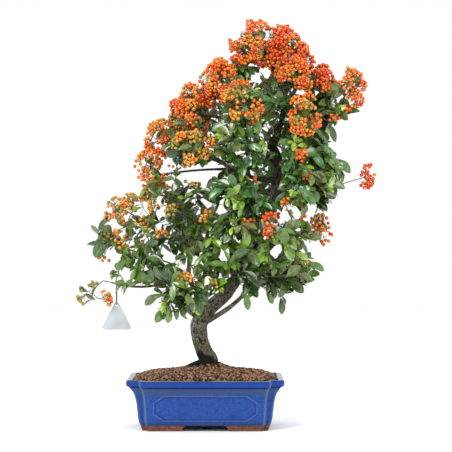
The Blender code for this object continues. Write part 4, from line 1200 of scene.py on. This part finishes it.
def openPlaces(name, rng):
    # places through the mass, a spacing apart, most of them in its outer part
    centre, radii = plant["masses"][name][2:4]
    bearing = plant["masses"][name][6] > 0.5
    spacing = plant["fruitSpacing"] if bearing else plant["leafSpacing"]
    spacing /= plant["sparse"].get(name, 1) ** 0.5
    low, high, inset = plant["fruitShell"] if bearing else plant["leafShell"]
    high = max(0.5, high - inset / min(radii))
    count = round(4.19 * radii[0] * radii[1] * radii[2] / spacing ** 3 * plant["fill"])
    first, fall = plant["apart"]
    places = []
    for i in range(count * plant["tries"]):
        direction = randomVector(rng, 1, 1, 1).normalized()
        depth = low + (high * plant["furthest"] - low) * rng.random() ** plant["outerLean"]
        place = Vector(c + d * r * depth for c, d, r in zip(centre, direction, radii))
        apart = spacing * (first - fall * i / (count * plant["tries"]))
        if len(places) < count and inCrown(place, name, high):
            if all((place - other).length > apart for other in places):
                places.append(place)
    return places


def growWood(name, stems, rng):
    stem = stems[name]
    obstacles = [c for route in routes.values() for c in capsulesOf(route)]
    obstacles += [run for other, runs in stems.items() if other != name for run in runs]
    wood = newWood()
    last = None
    for number, (start, end, thick) in enumerate(stem):
        if number == 0:
            start = start - (end - start).normalized() * plant["rootDepth"]  # its root is inside the limb
        steps = max(2, round((end - start).length / plant["nodeStep"]))
        first = 0 if last is None else 1
        points = [start.lerp(end, i / steps) for i in range(first, steps + 1)]
        last = addChain(wood, last, points)[-1]
    for start, end in mainTwigs(name, stem, obstacles, rng):
        node = min(range(len(wood["places"])), key=lambda i: (wood["places"][i] - start).length)
        addChain(wood, node, shootPath(wood["places"][node], wood["headings"][node], end, rng))
    hub = stem[-1][1]
    for place in sorted(openPlaces(name, rng), key=lambda place: (place - hub).length):
        node = nearestNode(wood, place)
        path = shootPath(wood["places"][node], wood["headings"][node], place, rng)
        if clearOf(path[0], path[-1], plant["gap"], obstacles[:len(obstacles) // 2]):
            addChain(wood, node, path)
    return wood


def woodRadii(wood, thick):
    # a node carries all the shoots beyond it, and is as thick as they need together
    loads = [0] * len(wood["places"])
    for i in reversed(range(len(loads))):
        loads[i] = max(loads[i], 1)
        if wood["parents"][i] is not None:
            loads[wood["parents"][i]] += loads[i]
    return [min(thick * 1.05, plant["tipRadius"] * load ** (1 / plant["pipe"])) for load in loads]


# one leaf, one bud of fruit and one thorn, each modelled once

def leafShape(curl, sweep, width):
    # an obovate blade of two skins that meet at its edge, folded along a pale rib
    across = (-1, -0.07, 0.07, 1)
    rows = 6
    deselectAll()
    bpy.ops.mesh.primitive_grid_add(x_subdivisions=rows, y_subdivisions=3, size=2)
    blade = bpy.context.object
    for vert in blade.data.vertices:
        column, row = vert.index // (rows + 1), vert.index % (rows + 1)
        t = 1 - (1 - row / rows) ** 1.5
        half = width / 2 * abs(math.sin(math.pi * t ** 1.45)) ** 0.7 + 0.012
        y = across[column] * half
        fold = abs(y) * 0.42
        vert.co = Vector((t - abs(sweep) * t * t * 0.1, y + sweep * t * t, fold - curl * t * t))
    skins = bmesh.new()
    skins.from_mesh(blade.data)
    for face in skins.faces:
        onRib = abs(face.calc_center_median().y - sweep * 0.3) < 0.07 and face.calc_area() < 0.012
        face.material_index = 2 if onRib else 0
    under = bmesh.ops.duplicate(skins, geom=skins.faces[:])["geom"]
    lower = [item for item in under if isinstance(item, bmesh.types.BMFace)]
    inner = [item for item in under if isinstance(item, bmesh.types.BMVert) and not item.is_boundary]
    for vert in inner:
        vert.co.z -= 0.012
    bmesh.ops.reverse_faces(skins, faces=lower)
    for face in lower:
        face.material_index = 1
    bmesh.ops.remove_doubles(skins, verts=skins.verts, dist=0.0005)
    skins.to_mesh(blade.data)
    skins.free()
    return readShape(blade)


def berryShape():
    # a squat globe with a dark dimpled eye at its top
    deselectAll()
    bpy.ops.mesh.primitive_uv_sphere_add(segments=8, ring_count=6, radius=1)
    globe = bpy.context.object
    for vert in globe.data.vertices:
        x, y, z = vert.co
        ring = math.hypot(x, y)
        vert.co.z = z * 0.9
        if z > 0.8:
            eye = 0.36 if ring > 0.01 else 0.0
            vert.co = Vector((x / ring * eye, y / ring * eye, 0.82)) if ring > 0.01 else Vector((0, 0, 0.6))
    for face in globe.data.polygons:
        x, y, z = face.center
        face.material_index = int(z > 0.7 and math.hypot(x, y) < 0.3)
    return readShape(globe)


def thornShape():
    deselectAll()
    bpy.ops.mesh.primitive_cone_add(vertices=3, radius1=0.06, radius2=0, depth=1, location=(0, 0, 0.5))
    bpy.ops.object.transform_apply(location=True)
    return readShape(bpy.context.object)


def turnTo(along, up):
    # columns of a turn that takes X to along and Z as near to up as it can
    side = up.cross(along)
    side = side.normalized() if side.length > 1e-4 else along.orthogonal().normalized()
    return np.array([along[:], side[:], along.cross(side)[:]]).T


leafShapes = [leafShape(*form) for form in plant["leafForms"]]
berry = berryShape()
thorn = thornShape()
limbStops = [stop for route in fineRoutes.values() for stop in route]
limbTree = treeOf([stop[:3] for stop in limbStops])


def clearOfLimbs(point, gap):
    place, index, distance = limbTree.find(point)
    return distance > limbStops[index][3] + gap


def backAlong(wood, tip, distance):
    # the place and direction on the wood this far back from a tip
    node, left = tip, distance
    while wood["parents"][node] is not None:
        step = (wood["places"][node] - wood["places"][wood["parents"][node]]).length
        if left <= step:
            break
        left -= step
        node = wood["parents"][node]
    heading = wood["headings"][node]
    return wood["places"][node] - heading * left, heading


def addLeaf(batch, kept, name, spot, spread, length, rng):
    # of a few directions round the shoot it takes the one with the most room
    site, heading = spot
    across, other = sidesOf(heading)
    inwards, depth = plant["leafAxis"]
    axisX = plant["masses"][name][2][0] * inwards if name else 0
    outward = (site - Vector((axisX, depth, site.z))).normalized()
    reach = plant["hiddenReach"] if name and plant["masses"][name][6] > 0.6 else plant["leafReach"]
    best = None
    for attempt in range(plant["leafTries"]):
        angle = rng.random() * math.tau
        lean = math.radians(rng.uniform(*spread))
        along = heading * math.cos(lean) + ringSpot(across, other, angle) * math.sin(lean)
        along = (along + Vector(plant["leafDroop"]) + outward * plant["leafOutward"]).normalized()
        size = length * rng.uniform(*plant["leafVary"])
        middle, end = site + along * size * plant["leafMiddle"], site + along * size
        if not clearOfLimbs(middle, plant["middleClear"]) or not clearOfLimbs(end, plant["endClear"]):
            continue
        if middle.y < plant["frontFrom"] and inSpot(middle, plant["fruitSpots"] + plant["barkSpots"]):
            continue
        if not inCrown(end, name, reach, False) or not inCrown(middle, name, reach, False):
            continue
        room = min(((middle - mid).length for mid in kept), default=99)
        if room > (best[0] if best else plant["leafRoom"]):
            best = (room, along, size, middle)
    if best:
        room, along, size, middle = best
        kept.append(middle)
        up = leaning(plant["leafFace"], upward, outward, heading) + randomVector(rng, *plant["faceSpread"])
        addCopy(batch, rng.choice(leafShapes), site, turnTo(along, up), size)


def leafShoot(leaves, kept, wood, tip, name, rng):
    young = name is not None and rng.random() < plant["youngShare"].get(name, plant["youngElsewhere"])
    pick = rng.random()
    tint = pickName(plant["tintPicks"], pick)
    low = wood["places"][tip].z < plant["lowCrown"]
    if not low and plant["coolPicks"][0] < pick < plant["coolPicks"][1]:
        tint = "Cool"
    if name and reachOf(wood["places"][tip], name) < plant["shadeReach"] and pick < plant["shadePick"]:
        tint = "Shade"  # painted shade: the inner leaves take the darkest tint
    full = plant["lowLeafLength"] if low else plant["leafLength"]
    stretch = plant["leafStretch"].get(name, 1)
    lengths = plant["youngLength"] if young else full
    for i in range(rng.randint(*plant["rosette"])):
        spot = backAlong(wood, tip, i * plant["rosetteStep"])
        lean = [angle + i * plant["rosetteOpening"] for angle in plant["rosetteLean"]]
        batch = leaves["Young" if young else tint]
        addLeaf(batch, kept, name, spot, lean, rng.uniform(*lengths) * stretch, rng)
    for i in range(rng.randint(*plant["sideLeaves"])):
        spot = backAlong(wood, tip, plant["sideFrom"] + i * plant["sideStep"])
        addLeaf(leaves[tint], kept, name, spot, plant["sideLean"], rng.uniform(*full) * stretch, rng)


def growSpurs(leaves, twigs):
    # short leafy shoots straight from the limbs, where the masses leave them bare
    kept = []
    for name, (low, high, count) in plant["spurs"].items():
        rng = random.Random(f"{plant['seed']}-spurs-{name}")
        for i in range(count):
            place, along, radius = pointOn(routes[name], low + (high - low) * (i + rng.random()) / count)
            across, other = sidesOf(along)
            angle = goldenAngle * i + rng.uniform(-plant["spurTurn"], plant["spurTurn"])
            aside = ringSpot(across, other, angle) + along * plant["spurLean"]
            aside = aside.normalized()
            aside.z = abs(aside.z)
            length = rng.uniform(*plant["spurLength"])
            wood = newWood()
            root = place + aside * radius * plant["spurRoot"]
            *strays, rise = plant["spurRise"]
            bend = randomVector(rng, *strays) + upward * rise
            reach = length + radius
            addChain(wood, None, [root + (aside + bend * t) * reach * t for t in (0, 0.3, 0.65, 1)])
            addShape(twigs, *tubeShape(wood["places"], plant["spurWood"], 5))
            leafShoot(leaves, kept, wood, len(wood["places"]) - 1, None, rng)


def growHanging(leaves, twigs):
    # each on a thin shoot from the nearest limb, its face turned to the light
    for base, heading, length, form, tint in plant["hanging"]:
        end = Vector(base)
        root = Vector(limbStops[limbTree.find(end)[1]][:3])
        middle = root.lerp(end, 0.5) + upward * plant["hangingLift"] * (end - root).length
        wood = plant["hangingWood"]
        route = [curvePoint(root, middle, end, t) for t in np.linspace(0, 1, len(wood))]
        addShape(twigs, *tubeShape(route, wood, 5))
        along = Vector((heading[0], plant["hangingForward"], heading[1])).normalized()
        addCopy(leaves[tint], leafShapes[form], end, turnTo(along, Vector(plant["hangingFace"])), length)


def corymb(wood, tip, name, rng):
    # a dome of berries on a short stalk, open to the outside of its mass
    place, heading = wood["places"][tip], wood["headings"][tip]
    centre, radii = plant["masses"][name][2:4]
    outward = Vector([away / radius for away, radius in zip(place - Vector(centre), radii)]).normalized()
    axis = leaning(plant["clusterAxis"], heading, outward, upward).normalized()
    across, other = sidesOf(axis)
    full = rng.randint(*plant["berries"])
    spread = plant["berryRadius"][1] * math.sqrt(full) * plant["dome"]
    count = round(full * plant["sparse"].get(name, 1))
    stalk = rng.uniform(*plant["stalk"])
    ripe = rng.gauss(0, plant["clusterRipeness"])
    turn = rng.random() * math.tau
    (crown, fall), stray = plant["domeLift"], plant["berryStray"]
    found = []
    for i in range(count):
        share = (i + 0.5) / count
        ring = spread * math.sqrt(share)
        lift = stalk + spread * (crown - fall * share) + rng.uniform(-stray, stray)
        centre = place + axis * lift + ringSpot(across, other, turn + goldenAngle * i) * ring
        found.append([centre, rng.uniform(*plant["berryRadius"]), place, ripe])
    return found


def settleBerries(berries, rounds=7):
    # berries that overlap push each other apart
    if not berries:
        return
    places = np.array([berry[0][:] for berry in berries])
    radii = np.array([berry[1] for berry in berries])
    need = (radii[:, None] + radii[None, :]) * plant["berryPress"]
    for step in range(rounds):
        apart = places[:, None] - places[None, :]
        distance = np.sqrt((apart ** 2).sum(axis=2)) + np.eye(len(places)) * 99
        push = np.maximum(0, need - distance) * 0.5
        places += (apart / distance[:, :, None] * push[:, :, None]).sum(axis=1)
    for berry, place in zip(berries, places):
        berry[0] = Vector(place)


def leafMaterials(name, color):
    # glossy upper side, dull paler underside, pale rib
    under, rib = blended(color, plant["underside"], 0.6), blended(color, plant["rib"], 0.5)
    return [mottledMaterial("leaf" + name + part, scaled(tint, 0.68), scaled(tint, 1.25), rough,
                            (110, 3), (240, 2, 0.15, 0.4), ramp=(0.3, 0.7), specular=0.9)
            for part, tint, rough in (("Top", color, 0.2), ("Under", under, 0.5), ("Rib", rib, 0.3))]


def berryMaterials(name, color):
    deep = scaled(color, 0.82, 0.62, 0.6)
    return [mottledMaterial("berry" + name, deep, color, 0.28, (160, 2), (700, 2, 0.1, 0.2)),
            mottledMaterial("eye" + name, (0.02, 0.01, 0.006), (0.14, 0.06, 0.03), 0.8, (900, 2), ramp=None)]


def twigMaterial(name, dark, light, roughness):
    return mottledMaterial(name, dark, light, roughness, (210, 4), (600, 3, 0.3, 0.3))


def standUp(along):
    return np.array(along.to_track_quat("Z", "Y").to_matrix())


def addTwigs(twigs, wood, thick, rng):
    # a tube for each shoot, with a thorn at some of its nodes
    for chain in wood["chains"]:
        if len(chain) > 1:
            radii = [thick[node] for node in chain]
            radii[0] = min(radii[0], radii[1] * plant["collar"])
            sides = 5 if radii[0] > plant["thickTwig"] else 4
            addShape(twigs, *tubeShape([wood["places"][node] for node in chain], radii, sides))
        for node in chain[1:-1]:
            if rng.random() < plant["thornShare"]:
                along = wood["headings"][node]
                aside = along.orthogonal().normalized() + Vector((0, rng.uniform(-1, 1), rng.uniform(-1, 1)))
                aside = (aside.normalized() + along * plant["thornLean"]).normalized()
                size = rng.uniform(*plant["thornLength"])
                addCopy(twigs, thorn, wood["places"][node], standUp(aside), size)


def bearingTips(wood, name, rng):
    # the shoots that bear fruit, which are the outer ones, and those with leaves alone
    fruitShare = plant["masses"][name][6]
    inner, outer = plant["fruitFrom"]
    parents = set(wood["parents"])
    bearing, leafy = [], []
    for tip in [chain[-1] for chain in wood["chains"] if chain[-1] not in parents]:
        place = wood["places"][tip]
        bears = fruitShare * min(1, max(0, (reachOf(place, name) - inner) / (outer - inner)))
        if inSpot(place, plant["fruitSpots"]) and place.y < plant["frontFrom"]:
            bears = 1
        elif inSpot(place, plant["leafySpots"]):
            bears = 0
        (bearing if rng.random() < bears else leafy).append(tip)
    return bearing, leafy


def addBerries(fruit, stalks, found, name, rng):
    # each on a stalk of its own; the outer and upper berries ripen first
    middle, aside = plant["stalkBend"]
    for place, radius, root, ripe in found:
        bend = root.lerp(place, middle) + (root - place).orthogonal() * aside
        along = (place - bend).normalized()
        ripe += plant["masses"][name][7] + plant["ripeOutside"] * (reachOf(place, name) - 0.7)
        tint = pickName(plant["ripePicks"], ripe + rng.gauss(0, plant["ripeSpread"]))
        addCopy(fruit[tint], berry, place, standUp(along), radius)
        end = place - along * radius * plant["stalkEnd"]
        addShape(stalks, *tubeShape([root, bend, end], plant["stalkWood"], 3))


def growMass(name, stems, batches, rng):
    leaves, fruit, twigs, stalks = batches
    wood = growWood(name, stems, rng)
    addTwigs(twigs, wood, woodRadii(wood, stems[name][0][2]), rng)
    bearing, leafy = bearingTips(wood, name, rng)
    found = [item for tip in bearing for item in corymb(wood, tip, name, rng)]
    settleBerries(found)
    found = [item for item in found if clearOfLimbs(item[0], item[1])
             and inCrown(item[0], name, plant["berryReach"], False)
             and not inSpot(item[0], plant["leafySpots"])]
    addBerries(fruit, stalks, found, name, rng)
    kept = [item[0] for item in found]
    for tip in leafy:
        leafShoot(leaves, kept, wood, tip, name, rng)
    for tip in bearing:
        for i in range(rng.randint(*plant["fruitLeaves"])):
            spot = backAlong(wood, tip, plant["fruitLeafFrom"] + i * plant["fruitLeafStep"])
            addLeaf(leaves["Dark" if i else "Mid"], kept, name, spot, plant["fruitLeafLean"],
                    rng.uniform(*plant["fruitLeafLength"]), rng)
    return len(found)


def growFoliage():
    stems = {name: stemOf(name) for name in plant["masses"]}
    leaves = {tint: newBatch() for tint in plant["leafTints"]}
    fruit = {tint: newBatch() for tint in plant["berryTints"]}
    twigs, stalks = newBatch(), newBatch()
    berryCount = 0
    for name in plant["masses"]:
        rng = random.Random(f"{plant['seed']}-{name}")
        berryCount += growMass(name, stems, (leaves, fruit, twigs, stalks), rng)
    growSpurs(leaves, twigs)
    growHanging(leaves, twigs)
    for tint, color in plant["leafTints"].items():
        finishPiece(batchPiece(leaves[tint], "leaves" + tint, leafMaterials(tint, color), 70))
    for tint, color in plant["berryTints"].items():
        finishPiece(batchPiece(fruit[tint], "berries" + tint, berryMaterials(tint, color), 50))
    twigBark = twigMaterial("twigBark", (0.035, 0.026, 0.018), (0.13, 0.115, 0.085), 0.8)
    stalkGreen = twigMaterial("stalkGreen", (0.16, 0.15, 0.05), (0.32, 0.30, 0.12), 0.6)
    finishPiece(batchPiece(stalks, "berryStalks", [stalkGreen], 60))
    covered = ["foliage_" + name for name in plant["masses"]]
    finishPiece(batchPiece(twigs, "twigs", [twigBark], 60), covered)
    print("berries:", berryCount)


growFoliage()

# tag: a blank three-cornered card on a loop of thread

tag = {
    "share": 0.93, "size": (58, 55), "corner": 8, "thickness": 1.0, "edge": 0.3,
    "holeRadius": 2.2, "holeDepth": 10.5, "threadRadius": 0.65, "loopLength": 38,
    "holeGap": 0.3, "boughGap": 0.6, "pinch": 0.35,  # the loop draws in to this share at the hole
    "card": (0.40, 0.43, 0.45), "thread": (0.012, 0.012, 0.012), "threadPale": (0.06, 0.06, 0.06),
}


def makeTag():
    place, along, radius = pointOn(routes["left_drop"], tag["share"])
    holeTop = place.z - tag["loopLength"] + tag["threadRadius"] + tag["holeGap"]
    top = holeTop - tag["holeRadius"] + tag["holeDepth"]
    width, height = tag["size"]
    deselectAll()
    bpy.ops.mesh.primitive_circle_add(vertices=3, radius=1, fill_type="NGON", rotation=(math.pi / 2, 0, 0))
    card = bpy.context.object
    card.name = "tagCard"
    bpy.ops.object.transform_apply(rotation=True)
    corners = ((0, 0), (-width / 2, -height), (width / 2, -height))
    for vert, (x, z) in zip(card.data.vertices, corners):
        vert.co = Vector((place.x + x, place.y, top + z)) * mm
    bpy.ops.object.mode_set(mode="EDIT")
    bpy.ops.mesh.select_all(action="SELECT")
    bpy.ops.mesh.bevel(affect="VERTICES", offset=tag["corner"] * mm, segments=8)
    bpy.ops.object.mode_set(mode="OBJECT")
    plate = card.modifiers.new("thickness", "SOLIDIFY")
    plate.thickness = tag["thickness"] * mm
    plate.offset = 0
    deselectAll()
    bpy.ops.mesh.primitive_cylinder_add(vertices=28, radius=tag["holeRadius"] * mm, depth=10 * mm,
                                        location=Vector((place.x, place.y, holeTop - tag["holeRadius"])) * mm,
                                        rotation=(math.pi / 2, 0, 0))
    punch = bpy.context.object
    hole = card.modifiers.new("hole", "BOOLEAN")
    hole.operation = "DIFFERENCE"
    hole.object = punch
    edge = card.modifiers.new("edge", "BEVEL")
    edge.width = tag["edge"] * mm
    edge.segments = 2
    edge.limit_method = "ANGLE"
    applyModifiers(card)
    bpy.data.objects.remove(punch)
    pale = tuple(min(1, channel * 1.18) for channel in tag["card"])
    haze = mottledMaterial("tagCard", tag["card"], pale, 0.3, (28, 3), (60, 2, 0.08, 0.3))
    card.data.materials.append(haze)
    activate(card)
    bpy.ops.object.shade_smooth_by_angle(angle=math.radians(35))
    finishPiece(card, ["tag"])
    return place, radius


def makeThread(place, radius):
    # over the bough and down through the hole, in the plane across the card
    halfLoop = radius + tag["threadRadius"] + tag["boughGap"]
    drop = tag["loopLength"] - halfLoop
    deselectAll()
    bpy.ops.curve.primitive_bezier_circle_add(radius=halfLoop * mm, rotation=(0, math.pi / 2, 0))
    bpy.ops.object.transform_apply(rotation=True)
    loop = bpy.context.object
    loop.name = "tagThread"
    for point in loop.data.splines[0].bezier_points:
        hangs = point.co.z < -halfLoop / 2 * mm
        for part in ("co", "handle_left", "handle_right"):
            spot = Vector(getattr(point, part))
            if hangs:
                spot.z -= drop * mm
                spot.y *= tag["pinch"]
            setattr(point, part, spot + place * mm)
    loop.data.bevel_depth = tag["threadRadius"] * mm
    loop.data.bevel_resolution = 3
    loop.data.resolution_u = 16
    activate(loop)
    bpy.ops.object.convert(target="MESH")
    loop = bpy.context.object
    twist = (1400, 2)
    mat = mottledMaterial("tagThread", tag["thread"], tag["threadPale"], 0.75, twist, (*twist, 0.5, 0.2),
                          ramp=None, stretch=(1, 1, 0.35))
    loop.data.materials.clear()
    loop.data.materials.append(mat)
    finishPiece(loop, ["tag_loop"])


makeThread(*makeTag())
